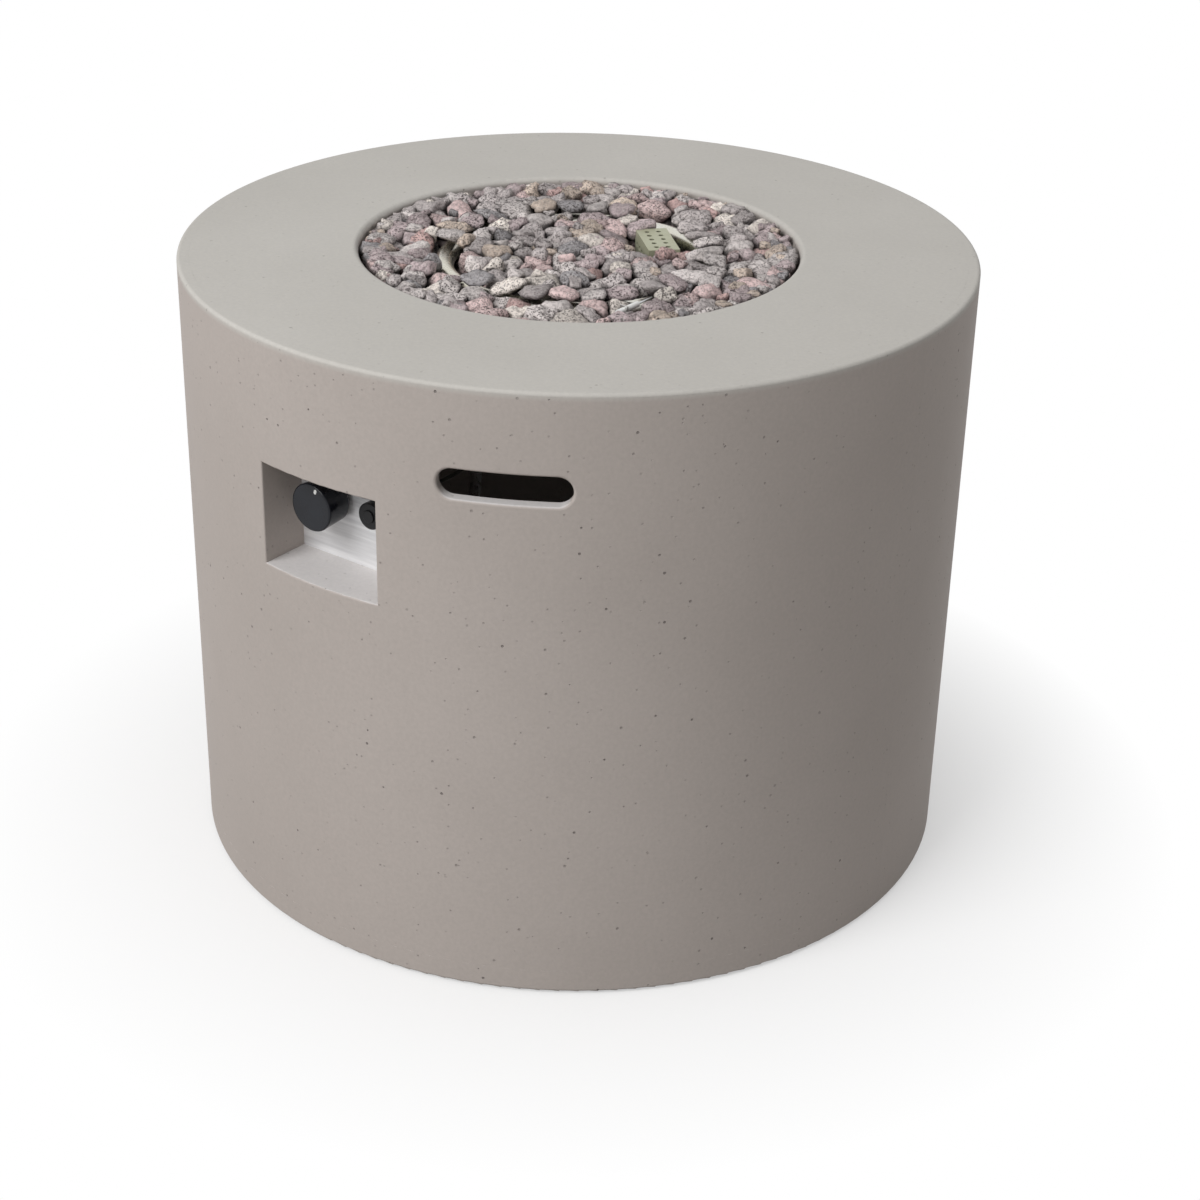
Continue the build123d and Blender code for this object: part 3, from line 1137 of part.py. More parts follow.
def outline_width(outline):
    """Smallest width of a convex outline, across any of its sides."""
    widths = []
    for start, end in zip(outline, outline[1:] + outline[:1]):
        length = math.dist(start, end)
        if length > 0:
            normal = ((end[1] - start[1]) / length, (start[0] - end[0]) / length)
            reach = [p[0] * normal[0] + p[1] * normal[1] for p in outline]
            widths.append(max(reach) - min(reach))
    return min(widths)


def rock_solid(outline, low, high, dice):
    """Faceted stone with a flat underside, inside the upright prism over its outline."""
    count = len(outline)
    middle = (sum(p[0] for p in outline) / count, sum(p[1] for p in outline) / count)
    tall = high - low

    def inward(point, share, height):
        x = middle[0] + share * (point[0] - middle[0])
        y = middle[1] + share * (point[1] - middle[1])
        return x, y, height

    points = []
    for corner, following in zip(outline, outline[1:] + outline[:1]):
        side = ((corner[0] + following[0]) / 2, (corner[1] + following[1]) / 2)
        points.append(inward(corner, 1, low + tall * dice.uniform(*ROCK_WAIST_HEIGHT)))
        points.append(inward(side, dice.uniform(*ROCK_BASE_WIDTH), low))
        crown_drop = tall * dice.uniform(*ROCK_CROWN_SLOPE)
        points.append(inward(side, dice.uniform(*ROCK_CROWN_WIDTH), high - crown_drop))
    return ConvexPolyhedron(points)


def clear_of_ring(cell, middle):
    """Cut a rock's outline back from the ring tube, on the side of it where the rock lies."""
    radius = math.hypot(*middle)
    outward = (middle[0] / radius, middle[1] / radius)
    half_band = BURNER_TUBE / 2 + SEAT_GAP
    if radius > BURNER_RADIUS:
        return clip(cell, (-outward[0], -outward[1]), -BURNER_RADIUS - half_band)
    slack = BURNER_RADIUS - math.sqrt(BURNER_RADIUS ** 2 - ROCK_SIZE ** 2)
    return clip(cell, outward, BURNER_RADIUS - half_band - slack)


def ring_shows(middle):
    """True where the ring is left bare."""
    turn = math.degrees(math.atan2(middle[1], middle[0])) % 360
    return any(start < turn < end for start, end in RING_SHOWN)


def make_lava_rock():
    """Top layer of stones in three groups: inside the ring, outside it, and lying on its tube."""
    dice = random.Random(ROCK_SEED)
    field = field_middles(dice)
    row = row_middles(dice)
    inside, outside, on_ring = [], [], []
    for middle in field + row:
        cell = rock_cell(middle, field + row)
        low = PAN_TOP_Z + SEAT_GAP
        high = DECK_Z - ROCK_DROP + dice.uniform(-ROCK_ROUGHNESS, ROCK_ROUGHNESS)
        if middle in field:
            cell = clear_of_ring(cell, middle)
            pile = inside if math.hypot(*middle) < BURNER_RADIUS else outside
        elif ring_shows(middle):
            continue
        else:
            pile = on_ring
            low = BURNER_CROWN_Z + SEAT_GAP
            high = DECK_Z - ROCK_DROP + ROCK_ROUGHNESS
        cell = clear_of_frames(cell, middle)
        if len(cell) > 3 and outline_width(cell) > ROCK_LEAST_WIDTH:
            pile.append(rock_solid(cell, low, high, dice))
    return group(inside), group(outside), group(on_ring)


def build_nodes():
    """Every piece of the pit under its own name."""
    rock_inside, rock_outside, rock_on_ring = make_lava_rock()
    nodes = {
        "drum_wall": make_drum_wall(),
        "base_rim": make_base_rim(),
        "deck_slab": make_deck_slab(),
        "opening_collar": make_opening_collar(),
        "pocket_frame": make_pocket_frame(),
        "foot_screws": group([place * make_foot_screw() for place in foot_places()]),
        "burner_pan": make_burner_pan(),
        "pan_rivets": group([place * make_rivet(above, below) for place, above, below in rivet_places()]),
        "burner_ring": make_burner_ring(),
        "burner_lock_nuts": make_lock_nuts(),
        "air_mixer": make_air_mixer(),
        "gas_jet": make_gas_jet(),
        "gas_tube": make_gas_tube(),
        "gas_tube_nuts": make_tube_nuts(),
        "sensor_guard": make_sensor_guard(),
        "sensor_probe": make_sensor_probe(),
        "sensor_lead": make_sensor_lead(),
        "sensor_nut": make_sensor_nut(),
        "electrode_ceramic": make_ceramic(),
        "spark_wire": make_spark_wire(),
        "electrode_bracket": make_electrode_bracket(),
        "spark_lead": make_spark_lead(),
        "lead_grommet": make_lead_grommet(),
        "control_panel": make_control_panel(),
        "panel_screws": group([place * make_panel_screw() for place in panel_screw_places()]),
        "panel_inserts": group([place * make_panel_insert() for place in panel_screw_places()]),
        "valve_body": make_valve_body(),
        "valve_cover": make_valve_cover(),
        "valve_screws": make_valve_screws(),
        "valve_plug": make_valve_plug(),
        "valve_stem": make_valve_stem(),
        "stem_spring": make_stem_spring(),
        "control_knob": make_control_knob(),
        "knob_mark": at_control(KNOB_OFFSET) * mark_solid(),
        "inlet_fitting": make_inlet_fitting(),
        "igniter_housing": make_igniter_housing(),
        "igniter_nut": make_igniter_nut(),
        "igniter_cap": make_igniter_cap(),
        "igniter_button": make_igniter_button(),
        "button_spring": make_button_spring(),
        "igniter_battery": make_battery(),
        "battery_spring": make_battery_spring(),
        "lava_rock_bed": make_rock_bed(),
        "lava_rock_inside": rock_inside,
        "lava_rock_outside": rock_outside,
        "lava_rock_on_ring": rock_on_ring,
    }
    for number, place in enumerate(foot_places(), start=1):
        nodes[f"foot_pad_{number}"] = place * make_foot_pad()
    for number, turn in enumerate(LEG_TURNS, start=1):
        nodes[f"burner_leg_{number}"] = make_burner_leg(turn)
    for number, along in enumerate(CLIP_PLACES, start=1):
        nodes[f"lead_clip_{number}"] = make_lead_clip(along)
    return nodes


os.makedirs("parts", exist_ok=True)
for name, shape in build_nodes().items():
    export_step(shape, f"parts/{name}.step")
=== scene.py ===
# %% [markdown]
# # A cast-concrete gas fire pit
# The drum, the burner, the valve and the igniter come from the frame at their real size and stay where they
# are. This lesson gives each of them its finish, and swaps the plain faceted stones for broken, porous lava
# rock. The box of the frame is kept first, and the last cell prints it.

# %% Load the frame
import math
import random

import bmesh
import bpy
import numpy as np
from mathutils import Matrix, Vector


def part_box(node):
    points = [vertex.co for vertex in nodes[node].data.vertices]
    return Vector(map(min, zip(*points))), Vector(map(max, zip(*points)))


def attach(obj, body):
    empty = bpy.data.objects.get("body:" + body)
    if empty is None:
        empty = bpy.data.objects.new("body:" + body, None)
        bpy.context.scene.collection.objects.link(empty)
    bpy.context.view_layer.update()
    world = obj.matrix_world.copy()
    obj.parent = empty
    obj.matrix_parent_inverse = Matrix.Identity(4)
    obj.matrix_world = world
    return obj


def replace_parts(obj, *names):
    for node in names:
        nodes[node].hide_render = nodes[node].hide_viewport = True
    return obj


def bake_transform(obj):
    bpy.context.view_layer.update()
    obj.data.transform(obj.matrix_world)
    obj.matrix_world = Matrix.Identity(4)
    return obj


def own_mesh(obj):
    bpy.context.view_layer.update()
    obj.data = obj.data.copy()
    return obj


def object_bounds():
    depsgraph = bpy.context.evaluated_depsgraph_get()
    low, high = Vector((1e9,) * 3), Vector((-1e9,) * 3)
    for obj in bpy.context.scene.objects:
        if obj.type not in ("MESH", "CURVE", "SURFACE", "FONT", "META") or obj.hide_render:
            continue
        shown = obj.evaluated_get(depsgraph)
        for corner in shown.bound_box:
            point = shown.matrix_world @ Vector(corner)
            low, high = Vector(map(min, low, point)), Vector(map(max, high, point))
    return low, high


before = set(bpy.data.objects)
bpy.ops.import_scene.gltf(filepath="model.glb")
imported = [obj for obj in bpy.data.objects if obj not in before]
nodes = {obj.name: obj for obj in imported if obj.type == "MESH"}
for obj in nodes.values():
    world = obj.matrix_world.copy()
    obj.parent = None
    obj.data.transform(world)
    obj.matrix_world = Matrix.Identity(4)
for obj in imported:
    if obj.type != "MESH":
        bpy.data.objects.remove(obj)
cad_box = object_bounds()
pit_middle = (cad_box[0] + cad_box[1]) / 2
deck_top = cad_box[1].z
print("pieces in the frame:", len(nodes))

# %% [markdown]
# ## The camera
# The pit was photographed from standing height, a little right of its control pocket, with a longish lens.
# A camera is only a place, a direction and a focal length, so it can be written down instead of being
# dragged. The direction is turned about the pit's own middle, and a slight roll repeats the hand-held tilt.

# %% Camera
PHOTO_PIXELS = 1200
FOCAL_PIXELS = 2354
SENSOR_MM = 36.0
EYE_DISTANCE = 2.48
EYE_TURN = math.radians(36.67)
EYE_RISE = math.radians(25.37)
AIM_ASIDE = math.radians(0.72)
AIM_DOWN = math.radians(27.14)
ROLL = math.radians(1.3)


def place_camera():
    """Camera at the photograph's place, looking the photograph's way."""
    spin = Matrix.Rotation(EYE_TURN, 3, "Z")
    eye = pit_middle + EYE_DISTANCE * (spin @ Vector((0, -math.cos(EYE_RISE), math.sin(EYE_RISE))))
    level = Vector((math.sin(AIM_ASIDE), math.cos(AIM_ASIDE), 0)) * math.cos(AIM_DOWN)
    forward = spin @ (level - Vector((0, 0, math.sin(AIM_DOWN))))
    flat_right = forward.cross(Vector((0, 0, 1))).normalized()
    flat_up = flat_right.cross(forward)
    right = math.cos(ROLL) * flat_right + math.sin(ROLL) * flat_up
    up = math.cos(ROLL) * flat_up - math.sin(ROLL) * flat_right
    lens = bpy.data.cameras.new("photo_camera")
    lens.sensor_width = SENSOR_MM
    lens.lens = FOCAL_PIXELS / PHOTO_PIXELS * SENSOR_MM
    camera = bpy.data.objects.new("photo_camera", lens)
    camera.matrix_world = Matrix.Translation(eye) @ Matrix((right, up, -forward)).transposed().to_4x4()
    bpy.context.scene.collection.objects.link(camera)
    bpy.context.scene.camera = camera
    return camera


camera = place_camera()
eye_place = [round(v, 3) for v in camera.matrix_world.translation]
print("camera at", eye_place, "lens", round(camera.data.lens, 1), "mm")

# %% [markdown]
# ## Helpers for finishes
# Every finish below is a small graph of nodes, so nothing has to be unwrapped or painted. Wiring nodes by
# hand takes many lines, so short helpers do it: one adds a node and fills its inputs, one reads the place
# of a point on the pit in metres, and the others shape grey values, mix colours or lay relief. Most of a
# noise's values lie in its middle, so that is the span which the finishes stretch.

# %% Node helpers
NOISE_SPAN = (0.3, 0.7)
MIX_FIRST, MIX_SECOND, MIX_RESULT = 6, 7, 2  # the mix node's sockets for colours


def new_finish(name):
    """Material with one shader, its node tree and that shader."""
    finish = bpy.data.materials.new(name)
    finish.use_nodes = True
    return finish, finish.node_tree, finish.node_tree.nodes["Principled BSDF"]


def fill(tree, socket, value):
    """Wire another node's output into a socket, or set the socket to a plain value."""
    if isinstance(value, bpy.types.NodeSocket):
        tree.links.new(value, socket)
    else:
        socket.default_value = value


def add(tree, kind, inputs, **settings):
    """Add a node with its settings, and fill its inputs by name or number."""
    node = tree.nodes.new(kind)
    for setting, value in settings.items():
        setattr(node, setting, value)
    for name, value in inputs.items():
        fill(tree, node.inputs[name], value)
    return node


def place_on_pit(tree, stretch=(1, 1, 1)):
    """Place of the shaded point in metres, stretched along each axis."""
    raw = tree.nodes.new("ShaderNodeTexCoord").outputs["Object"]
    return add(tree, "ShaderNodeMapping", {"Vector": raw, "Scale": stretch}).outputs["Vector"]


def grain(tree, place, scale, detail=4.0, roughness=0.55):
    """Cloudy grey values about one half."""
    inputs = {"Vector": place, "Scale": scale, "Detail": detail, "Roughness": roughness}
    return add(tree, "ShaderNodeTexNoise", inputs).outputs["Fac"]


def spread(tree, value, low, high, to_low, to_high):
    """Stretch a range of grey values to another range, without overshoot."""
    inputs = {"Value": value, "From Min": low, "From Max": high, "To Min": to_low, "To Max": to_high}
    return add(tree, "ShaderNodeMapRange", inputs).outputs["Result"]


def sums(tree, operation, first, second):
    """One arithmetic step between two grey values."""
    return add(tree, "ShaderNodeMath", {0: first, 1: second}, operation=operation).outputs["Value"]


def colours(tree, value, span, first, second):
    """Turn a grey value into colours: the first one up to the span, the second one beyond it."""
    ramp = add(tree, "ShaderNodeValToRGB", {"Fac": value})
    for element, place, colour in zip(ramp.color_ramp.elements, span, (first, second)):
        element.position = place
        element.color = (*colour, 1)
    return ramp.outputs["Color"]


def mixed(tree, share, first, second, blend="MIX"):
    """Mix two colours by a share."""
    mixer = add(tree, "ShaderNodeMix", {"Factor": share}, data_type="RGBA", blend_type=blend)
    fill(tree, mixer.inputs[MIX_FIRST], first)
    fill(tree, mixer.inputs[MIX_SECOND], second)
    return mixer.outputs[MIX_RESULT]


def bump(tree, height, strength, distance, below=None):
    """Small relief from a grey value, laid over another relief if one is given."""
    inputs = {"Height": height, "Strength": strength, "Distance": distance}
    if below is not None:
        inputs["Normal"] = below
    return add(tree, "ShaderNodeBump", inputs).outputs["Normal"]


print("node helpers ready")

# %% [markdown]
# ## Floor, background and light
# A product shot has a white sweep with a soft shadow under the object. Lighting a white floor until it
# clips would also bleach the pit, so the floor shows white to the camera and to reflections only, and stays
# a calm grey for the light that it throws back. A weak lamp lifts the far side, and one big softbox stands
# left of the camera, so the drum darkens to the right.

# %% Stage and light
FLOOR_RADIUS = 9.0
FLOOR_SIDES = 96
FLOOR_FADE = (0.4, 0.66)
FLOOR_LIFT = 0.45
FLOOR_WHITE = (0.95, 0.95, 0.95, 1)
FLOOR_BOUNCE = (0.34, 0.332, 0.325, 1)
SKY_LEVEL = 0.41


def seen_directly(tree):
    """One for rays that show the background: from the camera, in reflections or through glass."""
    path = tree.nodes.new("ShaderNodeLightPath").outputs
    shown = sums(tree, "MAXIMUM", path["Is Camera Ray"], path["Is Glossy Ray"])
    return sums(tree, "MAXIMUM", shown, path["Is Transmission Ray"])


def make_floor():
    """Pale floor that keeps the pit's shadow and fades into the white background."""
    mesh = bpy.data.meshes.new("floor")
    disc = bmesh.new()
    bmesh.ops.create_circle(disc, cap_ends=True, segments=FLOOR_SIDES, radius=FLOOR_RADIUS)
    disc.to_mesh(mesh)
    disc.free()
    floor = bpy.data.objects.new("floor", mesh)
    bpy.context.scene.collection.objects.link(floor)
    finish = bpy.data.materials.new("floor_paper")
    finish.use_nodes = True
    tree = finish.node_tree
    tree.nodes.clear()
    shown = seen_directly(tree)
    paper = add(tree, "ShaderNodeBsdfDiffuse", {"Color": mixed(tree, shown, FLOOR_BOUNCE, FLOOR_WHITE)})
    white = add(tree, "ShaderNodeEmission", {"Color": (1, 1, 1, 1), "Strength": 1.0})
    flat = place_on_pit(tree, (1, 1, 0))
    distance = add(tree, "ShaderNodeVectorMath", {0: flat}, operation="LENGTH").outputs["Value"]
    fade = spread(tree, distance, *FLOOR_FADE, FLOOR_LIFT, 1.0)
    share = sums(tree, "MULTIPLY", fade, shown)
    sheet = add(tree, "ShaderNodeMixShader", {0: share, 1: paper.outputs[0], 2: white.outputs[0]})
    add(tree, "ShaderNodeOutputMaterial", {"Surface": sheet.outputs[0]})
    mesh.materials.append(finish)


def make_sky():
    """White background for the camera, calm even light for the pit."""
    world = bpy.data.worlds.new("studio")
    world.use_nodes = True
    bpy.context.scene.world = world
    tree = world.node_tree
    level = spread(tree, seen_directly(tree), 0.0, 1.0, SKY_LEVEL, 1.0)
    fill(tree, tree.nodes["Background"].inputs["Color"], (1, 1, 1, 1))
    fill(tree, tree.nodes["Background"].inputs["Strength"], level)


def softbox(name, turn, rise, distance, size, level):
    """Square lamp that looks at the pit. Its level is the brightness that it gives a white card."""
    lamp = bpy.data.lights.new(name, "AREA")
    lamp.size = size
    lamp.energy = level * (math.pi * distance) ** 2
    box = bpy.data.objects.new(name, lamp)
    spin = Matrix.Rotation(math.radians(turn), 3, "Z")
    tilt = math.radians(rise)
    away = spin @ Vector((0, -math.cos(tilt), math.sin(tilt)))
    facing = away.to_track_quat("Z", "Y").to_matrix().to_4x4()
    box.matrix_world = Matrix.Translation(pit_middle + distance * away) @ facing
    bpy.context.scene.collection.objects.link(box)


make_floor()
make_sky()
softbox("key_softbox", turn=-11, rise=40, distance=9.0, size=5.2, level=0.73)
softbox("fill_softbox", turn=150, rise=35, distance=4.0, size=2.5, level=0.04)
bpy.context.scene.view_settings.view_transform = "Standard"
print("stage and lamps ready")

# %% [markdown]
# ## Cast concrete
# The drum is cast in a mould: fine cement skin, faint clouds where the mix dried unevenly, and a few
# pinholes where air bubbles sat against the mould. Real holes would need millions of faces, so they are cut
# by a cell texture: cells are small balls spread through the cement, and only those that the surface
# happens to slice show, each with its own size and strength. A few are clear and many are faint, and all
# are painted dark, as painted shade inside the holes. The deck is trowelled, so it dries a little paler and
# cooler than the wall. Faces that look up below it, such as the pocket's floor, are painted paler, as
# painted light that falls on them.

# %% Concrete
WALL_TONE = (0.46, 0.412, 0.38)
DECK_TONE = (0.54, 0.52, 0.484)
LIT_LEDGE_TONE = (0.66, 0.635, 0.625)
CLOUD_DARK = (0.94, 0.937, 0.935)
CLOUD_PALE = (1.04, 1.04, 1.043)
SPECKLE_DARK = (0.95, 0.95, 0.95)
SPECKLE_PALE = (1.03, 1.03, 1.03)
CLOUD_SCALE = 3.2
CLOUD_RELIEF = (0.15, 0.004)
SPECKLE_SCALE = 260.0
SPECKLE_RELIEF = (0.1, 0.0006)
CEMENT_ROUGHNESS = (0.62, 0.8)
CEMENT_GLOSS = 0.3
CLEAR_PINHOLES = {"scale": 54.0, "reach": 0.08, "faintest": 0.2}
FAINT_PINHOLES = {"scale": 95.0, "reach": 0.11, "faintest": 0.1}
FAINT_SHARE = 0.55
PINHOLE_SHADE_TONE = (0.19, 0.168, 0.155)
PINHOLE_CORE = 0.7
PINHOLE_LOT = (0.2, 1.0)
PINHOLE_RELIEF = (0.8, 0.0012)
DECK_FADE = (0.008, 0.002)  # below the deck's top
DECK_PINHOLES = 0.4
LIT_LEDGE_SLOPE = (0.5, 0.9)


def pinholes(tree, place, scale, reach, faintest=1.0):
    """Zero outside the small holes that the surface slices, and each hole's own strength inside."""
    cells = add(tree, "ShaderNodeTexVoronoi", {"Vector": place, "Scale": scale, "Randomness": 1.0})
    holes = spread(tree, cells.outputs["Distance"], PINHOLE_CORE * reach, reach, 1.0, 0.0)
    lot = add(tree, "ShaderNodeSeparateXYZ", {"Vector": cells.outputs["Color"]}).outputs["X"]
    return sums(tree, "MULTIPLY", holes, spread(tree, lot, *PINHOLE_LOT, faintest, 1.0))


def concrete_finish():
    """Cement skin with clouds, fine grain and pinholes."""
    finish, tree, shader = new_finish("cast_concrete")
    place = place_on_pit(tree)
    height = add(tree, "ShaderNodeSeparateXYZ", {"Vector": place}).outputs["Z"]
    deck_share = spread(tree, height, deck_top - DECK_FADE[0], deck_top - DECK_FADE[1], 0.0, 1.0)
    ground = mixed(tree, deck_share, (*WALL_TONE, 1), (*DECK_TONE, 1))
    # painted light: faces that look up, below the deck, are painted paler, as the light that falls on them
    facing = tree.nodes.new("ShaderNodeNewGeometry").outputs["Normal"]
    upward = add(tree, "ShaderNodeSeparateXYZ", {"Vector": facing}).outputs["Z"]
    lit_ledge = sums(tree, "SUBTRACT", spread(tree, upward, *LIT_LEDGE_SLOPE, 0.0, 1.0), deck_share)
    ground = mixed(tree, lit_ledge, ground, (*LIT_LEDGE_TONE, 1))
    clouds = grain(tree, place, CLOUD_SCALE, detail=5.0)
    drying = colours(tree, clouds, NOISE_SPAN, CLOUD_DARK, CLOUD_PALE)
    ground = mixed(tree, 1.0, ground, drying, "MULTIPLY")
    speckle = grain(tree, place, SPECKLE_SCALE, detail=3.0)
    skin = colours(tree, speckle, NOISE_SPAN, SPECKLE_DARK, SPECKLE_PALE)
    ground = mixed(tree, 1.0, ground, skin, "MULTIPLY")
    clear = pinholes(tree, place, **CLEAR_PINHOLES)
    faint = pinholes(tree, place, **FAINT_PINHOLES)
    holes = sums(tree, "MAXIMUM", clear, sums(tree, "MULTIPLY", faint, FAINT_SHARE))
    holes = sums(tree, "MULTIPLY", holes, spread(tree, deck_share, 0.0, 1.0, 1.0, DECK_PINHOLES))
    # painted shade: the pinholes are darkened in the colour, as the shade inside them
    fill(tree, shader.inputs["Base Color"], mixed(tree, holes, ground, (*PINHOLE_SHADE_TONE, 1)))
    fill(tree, shader.inputs["Roughness"], spread(tree, speckle, *NOISE_SPAN, *CEMENT_ROUGHNESS))
    fill(tree, shader.inputs["Specular IOR Level"], CEMENT_GLOSS)
    relief = bump(tree, speckle, *SPECKLE_RELIEF)
    relief = bump(tree, clouds, *CLOUD_RELIEF, relief)
    relief = bump(tree, sums(tree, "MULTIPLY", holes, -1.0), *PINHOLE_RELIEF, relief)
    fill(tree, shader.inputs["Normal"], relief)
    return finish


def dress(finish, *names):
    """Give a finish to pieces of the frame."""
    for name in names:
        nodes[name].data.materials.clear()
        nodes[name].data.materials.append(finish)


concrete = concrete_finish()
dress(concrete, "drum_wall", "base_rim", "deck_slab", "opening_collar", "pocket_frame")
print("concrete on the wall, rim, deck, collar and pocket")

# %% [markdown]
# ## The deck's rounded edge
# The edge round the deck is a quarter circle only a few millimetres wide. In the frame it has few facets,
# and against a white background its far side would look nibbled. A band with the same radius is turned in
# fine steps and laid into the edge, so the outline runs smoothly. It is a closed ring, like a bead of
# mortar.

# %% Edge band
EDGE_RADIUS = 0.0035
EDGE_STEPS = 8
EDGE_CREASE = math.radians(40)
TURN_STEPS = 480


def edge_profile(outer, top):
    """Corners of a quarter disc, as distances from the pit's axis and heights."""
    inner, low = outer - EDGE_RADIUS, top - EDGE_RADIUS
    angles = [math.pi / 2 * k / EDGE_STEPS for k in range(EDGE_STEPS + 1)]
    arc = [(inner + EDGE_RADIUS * math.cos(a), low + EDGE_RADIUS * math.sin(a)) for a in angles]
    return arc + [(inner, low)]


def turned_ring(name, profile, steps):
    """Closed ring, turned from a closed profile about the pit's axis."""
    count = len(profile)
    points = []
    for step in range(steps):
        turn = math.tau * step / steps
        points += [(r * math.cos(turn), r * math.sin(turn), z) for r, z in profile]
    faces = []
    for step in range(steps):
        here, there = step * count, (step + 1) % steps * count
        for k in range(count):
            after = (k + 1) % count
            faces.append((here + k, there + k, there + after, here + after))
    mesh = bpy.data.meshes.new(name)
    mesh.from_pydata(points, [], faces)
    mesh.set_sharp_from_angle(angle=EDGE_CREASE)
    mesh.materials.append(concrete)
    ring = bpy.data.objects.new(name, mesh)
    bpy.context.scene.collection.objects.link(ring)
    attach(ring, "pit")
    return ring


band = turned_ring("deck_edge_band", edge_profile(cad_box[1].x, deck_top), TURN_STEPS)
print("edge band:", len(band.data.polygons), "faces")

# %% [markdown]
# ## Lava rock: the finish
# Lava rock is frozen foam, so each stone is full of pores, and a bag of it mixes greys, mauves, pinks and
# tans. One material serves all the stones: each stone carries its own tint as a colour attribute, with its
# share of pores as the fourth value, and the nodes add blotches, pale mineral dust, painted shade in the pits
# and pores, and a rough relief. Where stones crowd together, an occlusion node finds the gaps, and painted
# shade darkens the colour there.

# %% Rock finish
TINT_LAYER = "stone_tint"
BLOTCH_DARK = (0.72, 0.71, 0.71)
BLOTCH_PALE = (1.2, 1.19, 1.18)
BLOTCH_SCALE = 120.0
BLOTCH_RELIEF = (0.8, 0.004)
DUST_TONE = (0.66, 0.63, 0.6)
DUST_SCALE = 760.0
DUST_SPAN = (0.52, 0.66)
DUST_SHARE = 0.5
PIT_SCALE = 300.0
PIT_SPAN = (0.37, 0.44)
PORE_SCALE = 480.0
PORE_REACH = 0.37
PORE_SHADE_TONE = (0.09, 0.075, 0.072)
PORE_SHADE_STRENGTH = 0.88
PORE_RELIEF = (0.9, 0.0015)
GAP_SHADE_TONE = (0.03, 0.026, 0.025)
GAP_SHADE_SPAN = (0.3, 0.8)
GAP_SHADE_SHARE = 0.9
GAP_REACH = 0.011
GAP_SAMPLES = 6
ROCK_ROUGHNESS = 0.92
ROCK_GLOSS = 0.2


def rock_finish():
    """Porous rock that takes its main colour and its pores from each stone's own tint."""
    finish, tree, shader = new_finish("lava_rock")
    place = place_on_pit(tree)
    tint = add(tree, "ShaderNodeVertexColor", {}, layer_name=TINT_LAYER).outputs
    blotches = grain(tree, place, BLOTCH_SCALE, detail=6.0, roughness=0.65)
    mottle = colours(tree, blotches, NOISE_SPAN, BLOTCH_DARK, BLOTCH_PALE)
    stone = mixed(tree, 1.0, tint["Color"], mottle, "MULTIPLY")
    dust = spread(tree, grain(tree, place, DUST_SCALE, detail=2.0), *DUST_SPAN, 0.0, DUST_SHARE)
    stone = mixed(tree, dust, stone, (*DUST_TONE, 1))
    pits = spread(tree, grain(tree, place, PIT_SCALE, roughness=0.6), *PIT_SPAN, 1.0, 0.0)
    holes = pinholes(tree, place, PORE_SCALE, PORE_REACH)
    pores = sums(tree, "MULTIPLY", sums(tree, "MAXIMUM", pits, holes), tint["Alpha"])
    # painted shade: the pits and pores are darkened in the colour, as the shade inside them
    stone = mixed(tree, sums(tree, "MULTIPLY", pores, PORE_SHADE_STRENGTH), stone, (*PORE_SHADE_TONE, 1))
    # painted shade: the occlusion node finds where stones crowd together, and the colour is darkened there as
    # the shade in those gaps
    gaps = add(tree, "ShaderNodeAmbientOcclusion", {"Distance": GAP_REACH}, samples=GAP_SAMPLES)
    gap_shade = spread(tree, gaps.outputs["AO"], *GAP_SHADE_SPAN, GAP_SHADE_SHARE, 0.0)
    fill(tree, shader.inputs["Base Color"], mixed(tree, gap_shade, stone, (*GAP_SHADE_TONE, 1)))
    fill(tree, shader.inputs["Roughness"], ROCK_ROUGHNESS)
    fill(tree, shader.inputs["Specular IOR Level"], ROCK_GLOSS)
    crust = bump(tree, blotches, *BLOTCH_RELIEF)
    crust = bump(tree, sums(tree, "MULTIPLY", pores, -1.0), *PORE_RELIEF, crust)
    fill(tree, shader.inputs["Normal"], crust)
    return finish


lava_finish = rock_finish()
print("rock finish ready")

# %% [markdown]
# ## Lava rock: how a stone breaks
# A stone starts as a fine ball. Each point of the ball is pulled in to the nearest of a set of flat sides,
# then lumps and dents are added. The sides meet by a power sum: a high power keeps edges crisp, a low one
# rounds them. Lumps come from smooth noise: random numbers on a grid, blended between the eight grid
# corners round a point.

# %% Stone shapes
LATTICE = 32
NOISE_SEED = 5
LUMPS = [(1.3, 0.15), (2.7, 0.11), (6.0, 0.09)]
EDGE_POWER = 22.0
BREAK_COUNT = 11
BREAK_DEPTH = (0.64, 0.96)
TOP_STEPS = 3
LOW_STEPS = 2
noise_table = np.random.default_rng(NOISE_SEED).random((LATTICE,) * 3)


def smooth_noise(points):
    """Smooth values from minus one to one, in lumps one unit wide."""
    cell = np.floor(points).astype(int)
    share = points - cell
    share = share * share * (3 - 2 * share)
    total = np.zeros(len(points))
    for corner in np.ndindex(2, 2, 2):
        x, y, z = ((cell + corner) % LATTICE).T
        total += np.where(corner, share, 1 - share).prod(axis=1) * noise_table[x, y, z]
    return 2 * total - 1


def unit_ball(steps):
    """Points and triangles of a fine ball with radius one."""
    ball = bmesh.new()
    bmesh.ops.create_icosphere(ball, subdivisions=steps, radius=1.0)
    points = np.array([v.co for v in ball.verts])
    faces = np.array([[v.index for v in f.verts] for f in ball.faces])
    ball.free()
    return points, faces


def roughen(ball, dice):
    """Lumps and dents of one stone, as a factor for each point."""
    factor = np.ones(len(ball))
    for scale, depth in LUMPS:
        shift = [dice.uniform(0, LATTICE) for _ in range(3)]
        factor += depth * smooth_noise(scale * ball + shift)
    return factor


def any_direction(dice):
    """Arrow of length one that points anywhere."""
    arrow = np.array([dice.gauss(0, 1) for _ in range(3)])
    return arrow / np.linalg.norm(arrow)


